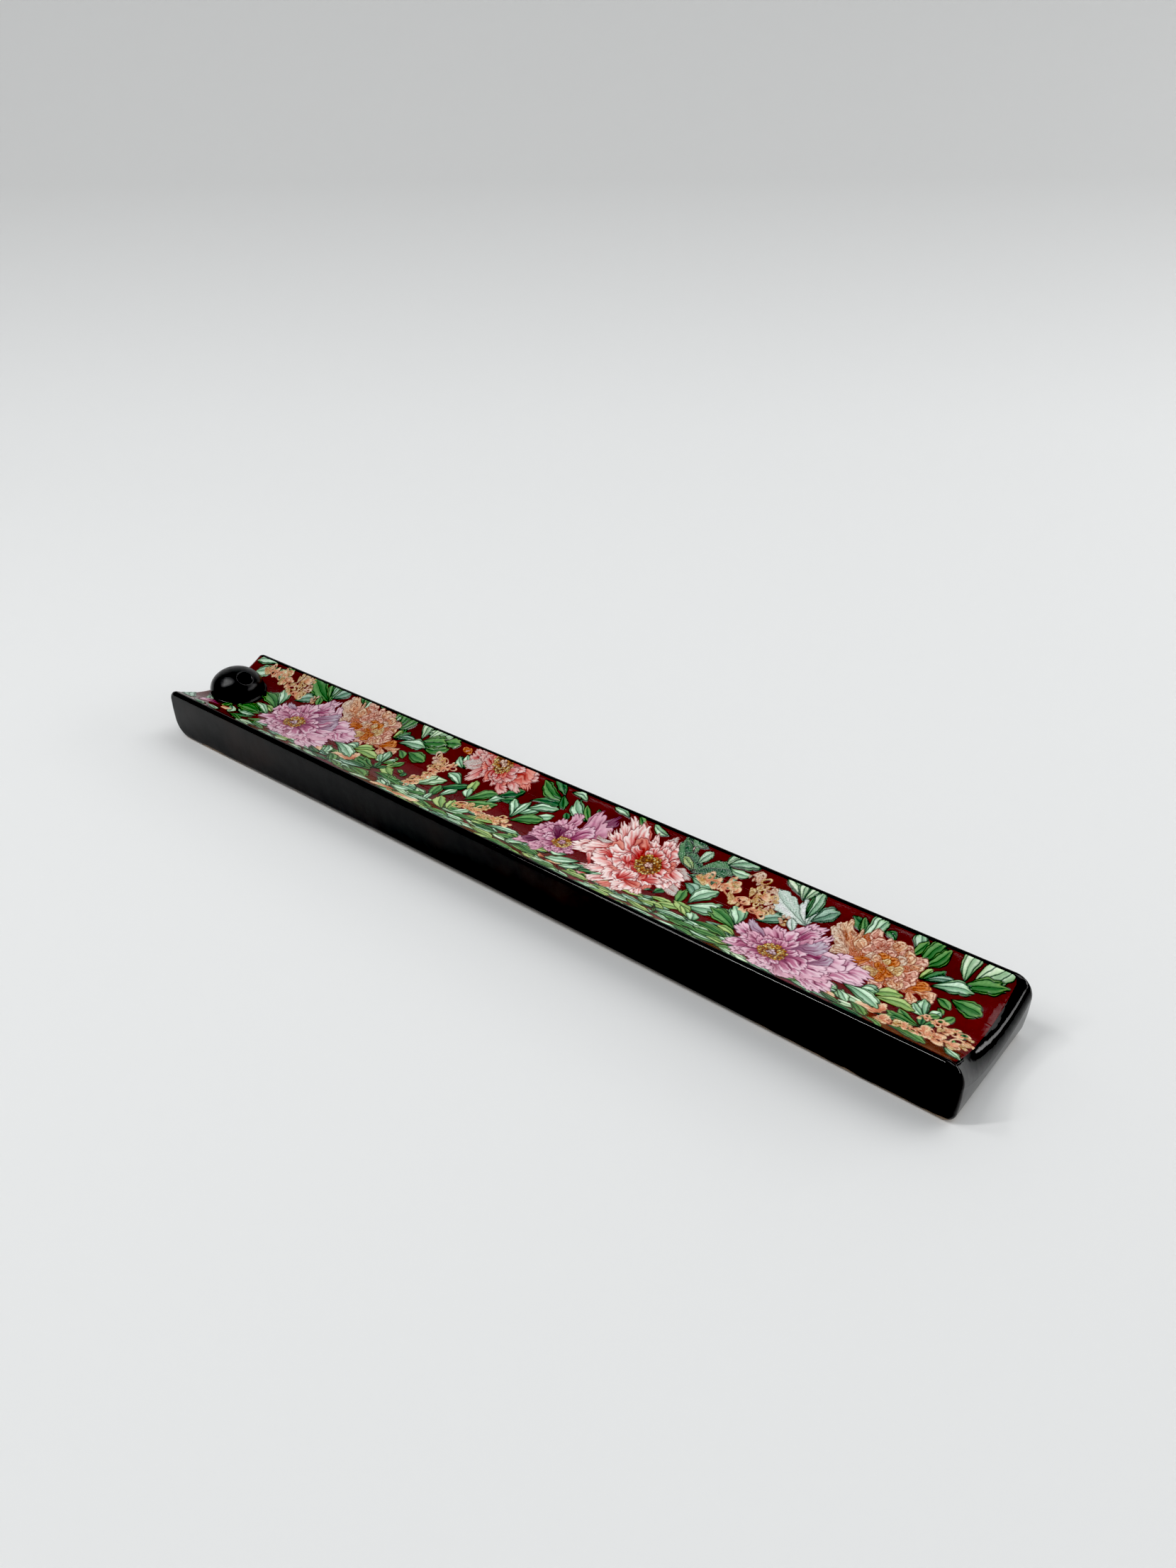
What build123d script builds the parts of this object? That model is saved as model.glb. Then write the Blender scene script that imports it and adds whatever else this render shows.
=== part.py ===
"""Trough-shaped ceramic incense-stick holder, in millimetres.

A long glazed bar with a shallow round trough along its top catches the ash.
A domed bead bonded in the trough, near the -X end, holds one stick at a slant
in a blind hole that leans towards +X. A thin printed enamel transfer lines
the trough and runs under the bead.

Frame: origin at the middle of the sole, +X along the bar away from the bead,
+Z up.
"""
from build123d import *
from math import cos, radians, sin, sqrt
import os

# Driving dimensions of the bar
LENGTH = 235.0
WIDTH = 32.0
TROUGH_RADIUS = 27.0       # round trough, seen along X
TROUGH_FLOOR = 9.4         # height of the trough's lowest line
WALL_BULGE = 130.0         # radius of each long wall, seen along X
WALL_BULGE_HEIGHT = 10.8   # height where the long walls stand proudest
END_BULGE = 52.0           # radius of both ends, seen along Y
END_BULGE_HEIGHT = 9.0     # height where the ends stand proudest
SOLE_ARCH = 0.8            # the bar warped up by this much at mid-length in the kiln
SOLE_PAD = 20.0            # flat length of sole left at each end

# Rounded edges of the bar
PLAIN_LIP_RADIUS = 4.0     # trough running over into the +X end
BEAD_LIP_RADIUS = 2.0      # trough running over into the -X end
TOE_RADIUS = 2.5           # sole into the +X end, seen from the side
HEEL_RADIUS = 5.0          # sole into the -X end, seen from the side
RIM_RADIUS = 1.0           # all round both long walls: rims, uprights and sole edges

# Printed transfer
TRANSFER_THICKNESS = 0.2
TRANSFER_NEAR_EDGE = 14.6      # from the centre line to the -Y edge
TRANSFER_FAR_EDGE_BEAD = 14.6  # from the centre line to the +Y edge, at the -X end
TRANSFER_FAR_EDGE_PLAIN = 13.8  # the same at the +X end, because it was laid slightly askew
TRANSFER_BEAD_GAP = 2.0        # bare lip at the -X end
TRANSFER_PLAIN_GAP = 4.2       # bare lip at the +X end
TRANSFER_CORNER = 2.5

# Bead, its stick hole and the bed under it
BEAD_FROM_END = 9.3        # bead's centre to the -X end
BEAD_RADIUS = 7.4
BEAD_EQUATOR = 11.3        # height of the widest ring
BEAD_CROWN = 5.9           # from the widest ring up to the top
BEAD_UNDERCUT = 1.7        # from the widest ring down to the foot ring
BEAD_FOOT_RADIUS = 6.0
HOLE_RADIUS = 1.8
HOLE_DEPTH = 5.0           # along the hole, from the dome's surface
HOLE_TILT = 32.0           # degrees from upright, leaning towards +X
HOLE_EDGE_RADIUS = 0.5
BOND_THICKNESS = 0.3
BOND_RADIUS = 6.4

BAR_END = LENGTH / 2
HALF_WIDTH = WIDTH / 2
TROUGH_CENTRE = TROUGH_FLOOR + TROUGH_RADIUS
BLANK_HEIGHT = 16.0        # taller than the rims, which the trough and the lips cut down
BEAD_X = BEAD_FROM_END - BAR_END
BEAD_UNDERSIDE = TRANSFER_THICKNESS + BOND_THICKNESS


def bulge_inset(radius, distance):
    """How far an arc falls back at this distance from its proudest point."""
    return radius - sqrt(radius**2 - distance**2)


def lengthwise(face, length):
    """Extrude a face drawn in the YZ plane to this length, centred on the origin."""
    return extrude(face, amount=length / 2, both=True)


def trough_cylinder(inset):
    """Round bar along X whose underside is the trough's surface raised by inset."""
    circle = Plane.YZ * Pos(0, TROUGH_CENTRE) * Circle(TROUGH_RADIUS - inset)
    return lengthwise(circle, LENGTH + 20)


def layer_on_trough(bottom, top):
    """Curved layer between two heights above the trough's surface."""
    return trough_cylinder(bottom) - trough_cylinder(top)


def wall_section():
    """Cross-section of the blank bar: flat sole and gently bulged long walls."""
    foot = HALF_WIDTH - bulge_inset(WALL_BULGE, WALL_BULGE_HEIGHT)
    top = HALF_WIDTH - bulge_inset(WALL_BULGE, BLANK_HEIGHT - WALL_BULGE_HEIGHT)
    sole = Line((-foot, 0), (foot, 0))
    far_wall = ThreePointArc((foot, 0), (HALF_WIDTH, WALL_BULGE_HEIGHT), (top, BLANK_HEIGHT))
    crown = Line((top, BLANK_HEIGHT), (-top, BLANK_HEIGHT))
    near_wall = ThreePointArc((-top, BLANK_HEIGHT), (-HALF_WIDTH, WALL_BULGE_HEIGHT), (-foot, 0))
    return make_face(sole + far_wall + crown + near_wall)


def corner_arc(radius):
    """Three points of a round corner from the sole up to the bulged +X end."""
    end_centre = Vector(BAR_END - END_BULGE, END_BULGE_HEIGHT)
    rise = END_BULGE_HEIGHT - radius
    centre = Vector(end_centre.X + sqrt((END_BULGE - radius)**2 - rise**2), radius)
    outward = (centre - end_centre).normalized()
    halfway = (outward + Vector(0, -1)).normalized()
    return centre - Vector(0, radius), centre + halfway * radius, centre + outward * radius


def side_profile():
    """Outline of the bar seen from the side, with its heel, toe and arched sole."""
    top = BAR_END - bulge_inset(END_BULGE, BLANK_HEIGHT - END_BULGE_HEIGHT)
    pad_end = BAR_END - SOLE_PAD
    toe_sole, toe_middle, toe_end = corner_arc(TOE_RADIUS)
    heel_sole, heel_middle, heel_end = [Vector(-p.X, p.Y) for p in corner_arc(HEEL_RADIUS)]
    bead_end = ThreePointArc((-top, BLANK_HEIGHT), (-BAR_END, END_BULGE_HEIGHT), heel_end)
    heel = ThreePointArc(heel_end, heel_middle, heel_sole)
    bead_pad = Line(heel_sole, (-pad_end, 0))
    arch = ThreePointArc((-pad_end, 0), (0, SOLE_ARCH), (pad_end, 0))
    plain_pad = Line((pad_end, 0), toe_sole)
    toe = ThreePointArc(toe_sole, toe_middle, toe_end)
    plain_end = ThreePointArc(toe_end, (BAR_END, END_BULGE_HEIGHT), (top, BLANK_HEIGHT))
    crown = Line((top, BLANK_HEIGHT), (-top, BLANK_HEIGHT))
    return make_face(bead_end + heel + bead_pad + arch + plain_pad + toe + plain_end + crown)


def nearest_edge(body, point):
    """The edge of body that passes closest to point."""
    return body.edges().sort_by_distance(point)[0]


def build_tray_body():
    """Glazed bar with its trough and every edge rounded."""
    body = lengthwise(Plane.YZ * wall_section(), LENGTH + 10)
    body = body & extrude(Plane.XZ * side_profile(), amount=WIDTH, both=True)
    body = body - trough_cylinder(0)
    body = fillet(nearest_edge(body, (BAR_END, 0, TROUGH_FLOOR)), PLAIN_LIP_RADIUS)
    body = fillet(nearest_edge(body, (-BAR_END, 0, TROUGH_FLOOR)), BEAD_LIP_RADIUS)
    # The edges round each long wall run smoothly into one another, so rounding
    # its rim rounds the whole loop.
    rims = [nearest_edge(body, (0, side, BLANK_HEIGHT)) for side in (-HALF_WIDTH, HALF_WIDTH)]
    return fillet(rims, RIM_RADIUS)


def build_trough_transfer():
    """Printed enamel layer in the trough, with rounded corners at the +X end."""
    bead_end = TRANSFER_BEAD_GAP - BAR_END
    plain_end = BAR_END - TRANSFER_PLAIN_GAP
    outline = Polyline(
        (bead_end, -TRANSFER_NEAR_EDGE),
        (plain_end, -TRANSFER_NEAR_EDGE),
        (plain_end, TRANSFER_FAR_EDGE_PLAIN),
        (bead_end, TRANSFER_FAR_EDGE_BEAD),
        close=True,
    )
    plan = make_face(outline)
    plan = fillet(plan.vertices().sort_by(Axis.X)[-2:], TRANSFER_CORNER)
    return extrude(plan, amount=TROUGH_CENTRE) & layer_on_trough(0, TRANSFER_THICKNESS)


def bead_profile():
    """Half-section of the bead about its upright axis, with the axis at X = 0."""
    crown = EllipticalCenterArc(
        (0, BEAD_EQUATOR), BEAD_RADIUS, BEAD_CROWN, start_angle=0, arc_size=90
    )
    foot_height = BEAD_EQUATOR - BEAD_UNDERCUT
    undercut = TangentArc(
        (BEAD_RADIUS, BEAD_EQUATOR), (BEAD_FOOT_RADIUS, foot_height), tangent=(0, -1)
    )
    foot = Polyline(
        (BEAD_FOOT_RADIUS, foot_height),
        (BEAD_FOOT_RADIUS, TROUGH_FLOOR),
        (0, TROUGH_FLOOR),
        (0, BEAD_EQUATOR + BEAD_CROWN),
    )
    return make_face(crown + undercut + foot)


def hole_mouth():
    """Where the stick hole's axis crosses the dome, and the way it points out.

    The hole is square to the dome, so this is the point of the ellipse whose
    normal has the hole's tilt.
    """
    lean = sin(radians(HOLE_TILT))
    rise = cos(radians(HOLE_TILT))
    reach = sqrt((BEAD_RADIUS * lean)**2 + (BEAD_CROWN * rise)**2)
    x = BEAD_RADIUS**2 * lean / reach
    z = BEAD_CROWN**2 * rise / reach
    return Vector(BEAD_X + x, 0, BEAD_EQUATOR + z), Vector(lean, 0, rise)


def build_stick_bead():
    """Domed bead with its slanted blind hole, its foot shaped to the trough."""
    # Half a turn puts the dome's seam on the side away from the hole.
    dome = Rot(0, 0, 180) * revolve(Plane.XZ * bead_profile(), Axis.Z)
    bead = Pos(BEAD_X, 0, 0) * dome
    bead = bead & trough_cylinder(BEAD_UNDERSIDE)
    mouth, outward = hole_mouth()
    bottom = mouth - outward * HOLE_DEPTH
    drill = extrude(Plane(bottom, z_dir=outward) * Circle(HOLE_RADIUS), amount=2 * HOLE_DEPTH)
    bead = bead - drill
    rim = bead.edges().sort_by_distance(mouth + Vector(0, HOLE_RADIUS, 0))[0]
    return fillet(rim, HOLE_EDGE_RADIUS)


def build_bead_bond():
    """Thin bed of glaze between the transfer and the bead's foot."""
    disc = Pos(BEAD_X, 0, 0) * extrude(Circle(BOND_RADIUS), amount=TROUGH_CENTRE)
    return disc & layer_on_trough(TRANSFER_THICKNESS, BEAD_UNDERSIDE)


if __name__ == "__main__":
    os.makedirs("parts", exist_ok=True)
    export_step(build_tray_body(), "parts/tray_body.step")
    export_step(build_trough_transfer(), "parts/trough_transfer.step")
    export_step(build_stick_bead(), "parts/stick_bead.step")
    export_step(build_bead_bond(), "parts/bead_bond.step")
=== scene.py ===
"""Looks of the glazed incense stick holder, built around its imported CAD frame.

The tray and the stick bead are the CAD nodes with glaze materials.  The printed decoration is
drawn here, stroke by stroke, on a fine grid that follows the trough, and becomes five bands of
raised enamel.  Units: metres in the frame, millimetres on the print.
"""

import math

import bpy
import numpy as np
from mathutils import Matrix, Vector
from mathutils.bvhtree import BVHTree


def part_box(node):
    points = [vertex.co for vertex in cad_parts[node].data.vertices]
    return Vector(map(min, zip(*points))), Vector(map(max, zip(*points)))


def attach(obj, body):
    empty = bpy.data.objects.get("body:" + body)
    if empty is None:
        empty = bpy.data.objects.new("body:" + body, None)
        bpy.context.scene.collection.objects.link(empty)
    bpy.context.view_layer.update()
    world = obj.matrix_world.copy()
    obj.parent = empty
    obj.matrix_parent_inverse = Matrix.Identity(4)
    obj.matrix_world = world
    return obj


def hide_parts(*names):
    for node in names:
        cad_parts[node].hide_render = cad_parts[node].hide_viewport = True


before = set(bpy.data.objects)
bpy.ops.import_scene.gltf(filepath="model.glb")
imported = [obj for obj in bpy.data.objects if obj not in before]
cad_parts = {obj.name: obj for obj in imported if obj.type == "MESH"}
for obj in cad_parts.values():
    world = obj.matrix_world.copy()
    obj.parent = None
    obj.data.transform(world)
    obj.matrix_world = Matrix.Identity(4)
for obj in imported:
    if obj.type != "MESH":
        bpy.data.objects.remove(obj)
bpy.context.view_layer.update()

MM = 0.001
BODY = "root"

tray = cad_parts["tray_body"]
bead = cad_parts["stick_bead"]
tray_low, tray_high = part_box("tray_body")
bead_low, bead_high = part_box("stick_bead")


def add_object(name, data):
    """An object in the scene for a camera, a light or a mesh."""
    thing = bpy.data.objects.new(name, data)
    bpy.context.scene.collection.objects.link(thing)
    return thing


# ---------------------------------------------------------------- camera

CAMERA_PLACE = Vector((0.16647, -0.17807, 0.16844))
CAMERA_YAW = math.radians(-39.46)
CAMERA_PITCH = math.radians(31.35)
CAMERA_ROLL = math.radians(-0.50)
LENS_MM = 28.27
SENSOR_WIDTH_MM = 36.0
NEAREST_SEEN = 0.01


def add_camera():
    """A phone camera close to the bar's plain end, looking down along it."""
    data = bpy.data.cameras.new("camera")
    data.lens = LENS_MM
    data.sensor_width = SENSOR_WIDTH_MM
    data.clip_start = NEAREST_SEEN
    camera = add_object("camera", data)
    ahead = Vector((
        math.sin(CAMERA_YAW) * math.cos(CAMERA_PITCH),
        math.cos(CAMERA_YAW) * math.cos(CAMERA_PITCH),
        -math.sin(CAMERA_PITCH),
    ))
    level = Vector((math.cos(CAMERA_YAW), -math.sin(CAMERA_YAW), 0.0))
    above = level.cross(ahead)
    right = math.cos(CAMERA_ROLL) * level + math.sin(CAMERA_ROLL) * above
    up = math.cos(CAMERA_ROLL) * above - math.sin(CAMERA_ROLL) * level
    matrix = camera.matrix_world.copy()
    for row in range(3):
        matrix[row][0] = right[row]
        matrix[row][1] = up[row]
        matrix[row][2] = -ahead[row]
        matrix[row][3] = CAMERA_PLACE[row]
    camera.matrix_world = matrix
    bpy.context.scene.camera = camera


add_camera()


# ---------------------------------------------------------------- mesh and node helpers

def smooth_object(name, points, faces):
    """A smooth-shaded mesh object from its points, in metres, and its faces."""
    mesh = bpy.data.meshes.new(name)
    mesh.from_pydata(points, [], faces)
    for polygon in mesh.polygons:
        polygon.use_smooth = True
    return add_object(name, mesh)


def new_material(name):
    """A node material and its Principled shader."""
    material = bpy.data.materials.new(name)
    material.use_nodes = True
    return material, material.node_tree.nodes["Principled BSDF"]


def add_node(material, kind, **settings):
    """A node of that kind, with its properties and its unlinked inputs set by name."""
    node = material.node_tree.nodes.new(kind)
    for key, value in settings.items():
        if hasattr(node, key):
            setattr(node, key, value)
        else:
            node.inputs[key.replace("_", " ")].default_value = value
    return node


def link(material, source, target):
    material.node_tree.links.new(source, target)


def add_noise(material, scale, detail=3.0, roughness=0.5):
    """Noise in object space, which is the frame's own space, in features per metre."""
    place = add_node(material, "ShaderNodeTexCoord")
    noise = add_node(material, "ShaderNodeTexNoise")
    noise.inputs["Scale"].default_value = scale
    noise.inputs["Detail"].default_value = detail
    noise.inputs["Roughness"].default_value = roughness
    link(material, place.outputs["Object"], noise.inputs["Vector"])
    return noise.outputs["Fac"]


def add_range(material, source, low, high, start=0.35, end=0.65):
    """Source values from start to end become low to high."""
    node = add_node(material, "ShaderNodeMapRange")
    node.inputs["From Min"].default_value = start
    node.inputs["From Max"].default_value = end
    node.inputs["To Min"].default_value = low
    node.inputs["To Max"].default_value = high
    link(material, source, node.inputs["Value"])
    return node.outputs["Result"]


def add_ramp(material, source, stops):
    """A colour ramp with (position, (r, g, b)) stops."""
    node = add_node(material, "ShaderNodeValToRGB")
    ramp = node.color_ramp
    while len(ramp.elements) < len(stops):
        ramp.elements.new(0.5)
    for element, (position, colour) in zip(ramp.elements, stops):
        element.position = position
        element.color = (*colour, 1.0)
    link(material, source, node.inputs["Fac"])
    return node.outputs["Color"]


def add_bump(material, heights, strength, distance, base=None):
    """A normal bumped by the heights, on top of another bump where there is one."""
    node = add_node(material, "ShaderNodeBump")
    node.inputs["Strength"].default_value = strength
    node.inputs["Distance"].default_value = distance
    link(material, heights, node.inputs["Height"])
    if base is not None:
        link(material, base, node.inputs["Normal"])
    return node.outputs["Normal"]


def add_math(material, operation, first, second):
    """Two sources put together by a math operation."""
    node = add_node(material, "ShaderNodeMath", operation=operation)
    link(material, first, node.inputs[0])
    link(material, second, node.inputs[1])
    return node.outputs[0]


def add_up(material, what):
    """The upward part of the Position or the Normal, in the frame's own space."""
    axes = add_node(material, "ShaderNodeSeparateXYZ")
    link(material, add_node(material, "ShaderNodeNewGeometry").outputs[what], axes.inputs["Vector"])
    return axes.outputs["Z"]


def add_mix(material, factor, first, second):
    """Colour first where the factor is 0, second where it is 1."""
    node = add_node(material, "ShaderNodeMix", data_type="RGBA")
    link(material, factor, node.inputs["Factor"])
    link(material, first, node.inputs["A"])
    link(material, second, node.inputs["B"])
    return node.outputs["Result"]


# ---------------------------------------------------------------- the print: drawing tools
#
# The print is drawn flat, in millimetres: x runs from the bead end to the plain end, y from the
# near rim to the far rim.  Ink holds display colours from 0 to 1, raised holds the enamel's
# height and grain how sandy it is.

PRINT_LENGTH = round((tray_high.x - tray_low.x) / MM, 1)
PRINT_WIDTH = round((tray_high.y - tray_low.y) / MM, 1)
FINE = 0.07
COLUMNS = int(round(PRINT_LENGTH / FINE))
ROWS = int(round(PRINT_WIDTH / FINE))
ink = np.zeros((ROWS, COLUMNS, 3))
raised = np.zeros((ROWS, COLUMNS))
grain = np.zeros((ROWS, COLUMNS))
grid_x = (np.arange(COLUMNS) + 0.5) * FINE
grid_y = (np.arange(ROWS) + 0.5) * FINE


def rgb(*values):
    """A display colour from its 0 to 255 values."""
    return np.array(values, float) / 255.0


def ease(low, high, value):
    """0 below low, 1 above high, smooth between."""
    t = np.clip((value - low) / (high - low), 0.0, 1.0)
    return t * t * (3.0 - 2.0 * t)


def blend_to(colour, other, amount):
    """The colour where the amount is 0, the other where it is 1."""
    return colour + (other - colour) * amount[..., None]


def soft_noise(cell, seed):
    """Smooth noise from -1 to 1 over the whole print, with features as large as the cell."""
    draw = np.random.RandomState(seed)
    knots = draw.uniform(-1.0, 1.0, (int(PRINT_WIDTH / cell) + 3, int(PRINT_LENGTH / cell) + 3))
    rows, columns = grid_y / cell, grid_x / cell
    row, column = rows.astype(int), columns.astype(int)
    down = ease(0.0, 1.0, rows - row)[:, None]
    side = ease(0.0, 1.0, columns - column)[None, :]
    row, column = row[:, None], column[None, :]
    upper = knots[row, column] * (1.0 - side) + knots[row, column + 1] * side
    lower = knots[row + 1, column] * (1.0 - side) + knots[row + 1, column + 1] * side
    return upper * (1.0 - down) + lower * down


sway_x = 0.7 * soft_noise(2.6, 21) + 0.3 * soft_noise(1.1, 22)
sway_y = 0.7 * soft_noise(2.6, 23) + 0.3 * soft_noise(1.1, 24)


def patch(x, y, reach, sway=0.0):
    """The grid window within reach of a point: its slices and its x and y, waved by the sway."""
    left = max(0, int((x - reach) / FINE))
    right = min(COLUMNS, int((x + reach) / FINE) + 1)
    low = max(0, int((y - reach) / FINE))
    high = min(ROWS, int((y + reach) / FINE) + 1)
    if right - left < 3 or high - low < 3:
        return None
    window = (slice(low, high), slice(left, right))
    across, along = np.meshgrid(grid_x[left:right], grid_y[low:high])
    return window, across + sway * sway_x[window], along + sway * sway_y[window]


def inside(edge):
    """An edge function, positive inside, as a distance in millimetres."""
    down, side = np.gradient(edge, FINE)
    return edge / np.maximum(np.hypot(down, side), 0.6)


def lay(window, depth, colour, height, sandy):
    """Lays one stroke over what is there; depth is the distance inside its outline."""
    cover = np.clip(depth / FINE + 0.5, 0.0, 1.0)
    ink[window] = blend_to(ink[window], colour, cover)
    raised[window] += (height - raised[window]) * cover
    grain[window] += (sandy - grain[window]) * cover


# outline, dark side, light side, streak, rim
LEAF_SHADES = {
    "mint": ((24, 58, 40), (112, 154, 122), (166, 201, 170), (216, 234, 216), (128, 166, 114)),
    "grey": ((26, 58, 42), (84, 124, 102), (132, 165, 146), (176, 203, 186), (104, 140, 104)),
    "pale": ((26, 66, 40), (136, 170, 134), (186, 212, 174), (226, 238, 216), (156, 184, 132)),
    "mid": ((20, 50, 30), (48, 98, 52), (78, 128, 72), (120, 160, 104), (128, 158, 88)),
    "dark": ((10, 36, 24), (22, 66, 40), (50, 102, 60), (92, 142, 98), (92, 132, 80)),
    "olive": ((34, 56, 26), (98, 136, 74), (146, 174, 108), (182, 202, 140), (168, 182, 104)),
    # frost: pale leaves that are painted reflection, the glint of light off the far wall at the plain end
    "frost": ((90, 124, 104), (170, 196, 180), (206, 222, 210), (238, 242, 238), (214, 226, 214)),
}

# outline, deep base, middle, pale edge, sandiness
PETAL_SHADES = {
    "purple": ((78, 18, 48), (122, 46, 80), (178, 104, 134), (232, 200, 212), 0.0),
    "lilac": ((92, 50, 76), (124, 70, 98), (162, 126, 148), (192, 178, 192), 0.1),
    "mauve": ((86, 24, 50), (124, 50, 80), (184, 118, 144), (220, 174, 190), 0.0),
    "plum": ((58, 10, 34), (80, 24, 52), (104, 40, 70), (136, 84, 108), 0.1),
    "rose": ((104, 12, 16), (168, 38, 38), (210, 112, 108), (246, 230, 226), 0.0),
    "pink": ((98, 12, 16), (160, 40, 42), (200, 106, 102), (222, 190, 184), 0.0),
    "red": ((112, 22, 24), (158, 40, 36), (190, 76, 66), (222, 148, 134), 0.0),
    "ash": ((150, 60, 56), (188, 112, 104), (196, 164, 156), (206, 198, 192), 0.9),
    "peach": ((120, 46, 20), (184, 84, 40), (224, 150, 108), (246, 214, 178), 0.5),
    "sand": ((132, 70, 40), (196, 120, 84), (220, 170, 138), (240, 216, 190), 0.9),
    "brick": ((100, 28, 4), (150, 48, 6), (184, 84, 20), (222, 146, 82), 0.2),
    "blush": ((116, 44, 32), (176, 86, 64), (212, 144, 128), (240, 202, 180), 0.1),
    "gold": ((128, 70, 22), (158, 94, 28), (206, 156, 82), (234, 208, 152), 0.8),
    "coral": ((226, 196, 146), (180, 88, 58), (224, 156, 120), (240, 208, 172), 0.3),
}

LEAVES = {look: [rgb(*shade) for shade in row] for look, row in LEAF_SHADES.items()}
PETALS = {look: [*(rgb(*shade) for shade in row[:4]), row[4]] for look, row in PETAL_SHADES.items()}

BODY_RISE = 0.11
DOME_RISE = 0.10

LINE = 0.20
LEAF_LIFT = 1.09
LEAF_SWAY = 0.30
LOBED_WIDTH = 2.5
LOBE_SHARES = (-0.17, 0.2)
LOBE_DEPTH = 0.11
STRIPED_WIDTH = 3.1
STRIPED_LOOKS = ("mint", "pale", "grey", "mid")
RIB_PITCH = 0.95
VEIN_DEPTH = 0.09

PETAL_SWAY = 1.0
RUFFLED = ("peach", "blush", "sand", "gold", "brick")
SILK_FRINGE, RUFFLED_FRINGE = 0.075, 0.02
RUFFLE_LINES = (0.62, 1.5)
CREASE_DEPTH = 0.06
STROKE_RISE = 0.035


def leaf_edge(along, aside, length, width, notch):
    """Edge function of a toothed leaf with lobes at a broad tip, and its half width at each point."""
    t = np.clip(along, 0.0, 1.0)
    half = width / 2 * np.sin(math.pi * t ** 1.45) ** 0.66
    teeth = np.abs(np.sin(along * length * 1.25 + 0.9 * np.sign(aside))) - 0.6
    half = half * (1.0 + 0.20 * teeth * ease(0.35, 0.7, t))
    edge = half - np.abs(aside)
    edge = np.minimum(edge, np.minimum(along, 1.0 - along) * length + 0.02)
    if width > LOBED_WIDTH:
        for share in LOBE_SHARES:
            split = 1.0 - max(notch, LOBE_DEPTH) * (0.8 + share)
            edge = np.minimum(edge, np.abs(aside - share * width) - 0.42 * length * (along - split))
    return edge, half


def leaf_shade(look, along, aside, length, side, depth):
    """Two-toned halves with a streak of light on each, faint ribs and a bright rim."""
    outline, dark, light, streak, rim = LEAVES[look]
    t = np.clip(along, 0.0, 1.0)
    colour = blend_to(dark, light, ease(-0.18, 0.12, side))
    colour = blend_to(colour, dark, 0.55 * ease(0.45, 0.0, t))
    flecks = np.sin(along * length * 5.0 + 9.0 * side) * np.sin(along * length * 2.3 - 14.0 * side)
    shine = np.exp(-((side - 0.42) / 0.24) ** 2) * ease(0.12, 0.5, t) * (0.75 + 0.25 * flecks)
    colour = blend_to(colour, streak, 0.85 * shine)
    colour = blend_to(colour, streak, 0.5 * np.exp(-((side + 0.5) / 0.2) ** 2) * ease(0.2, 0.6, t))
    ribs = np.cos((along * length - 0.9 * np.abs(aside)) * 2.0 * math.pi / RIB_PITCH)
    colour = blend_to(colour, outline, 0.07 * ease(0.4, 1.0, ribs) * ease(0.0, 0.4, np.abs(side)))
    return blend_to(colour, rim, 0.7 * ease(0.62, 0.2, depth))


def leaf_grooves(along, aside, half, depth, stripes):
    """1 along the midrib and along each pair of stripes, 0 between them."""
    t = np.clip(along, 0.0, 1.0)
    vein = 0.02 + 0.07 * (1.0 - t)
    groove = ease(vein + 0.07, vein, np.abs(aside)) * ease(0.97, 0.85, t)
    for number in range(stripes):
        level = (number + 1) / (stripes + 1) * 1.5 - 0.05
        for sign in (-1.0, 1.0):
            stripe = ease(0.17, 0.08, np.abs(aside - sign * level * half)) * ease(0.02, 0.3, depth)
            groove = np.maximum(groove, 0.9 * stripe)
    return groove


def leaf(look, base_x, base_y, tip_x, tip_y, width, bend=0.0, notch=0.0, stripes=0, sandy=0.0):
    """A leaf from base to tip: bend bows it to its left, notch splits its tip, stripes adds dark lines."""
    run_x, run_y = tip_x - base_x, tip_y - base_y
    length = math.hypot(run_x, run_y)
    view = patch((base_x + tip_x) / 2, (base_y + tip_y) / 2, length / 2 + width, LEAF_SWAY)
    if view is None:
        return
    window, x, y = view
    along = ((x - base_x) * run_x + (y - base_y) * run_y) / length ** 2
    aside = ((y - base_y) * run_x - (x - base_x) * run_y) / length
    aside = aside - bend * length * 4.0 * along * (1.0 - along)
    edge, half = leaf_edge(along, aside, length, width, notch)
    depth = inside(edge)
    side = np.clip(aside / np.maximum(half, 0.05), -1.0, 1.0)
    if width > STRIPED_WIDTH and look in STRIPED_LOOKS:
        stripes = max(stripes, 1)
    groove = leaf_grooves(along, aside, half, depth, stripes)
    outline = LEAVES[look][0]
    colour = np.minimum(leaf_shade(look, along, aside, length, side, depth) * LEAF_LIFT, 0.95)
    colour = blend_to(colour, outline * 0.8, 0.95 * groove)
    colour = blend_to(colour, outline * 0.7, ease(LINE + 0.06, LINE - 0.06, depth))
    height = BODY_RISE + DOME_RISE * ease(0.0, 0.9, depth) - VEIN_DEPTH * groove
    lay(window, depth, colour, height * ease(0.0, LINE, depth), sandy)


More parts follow.
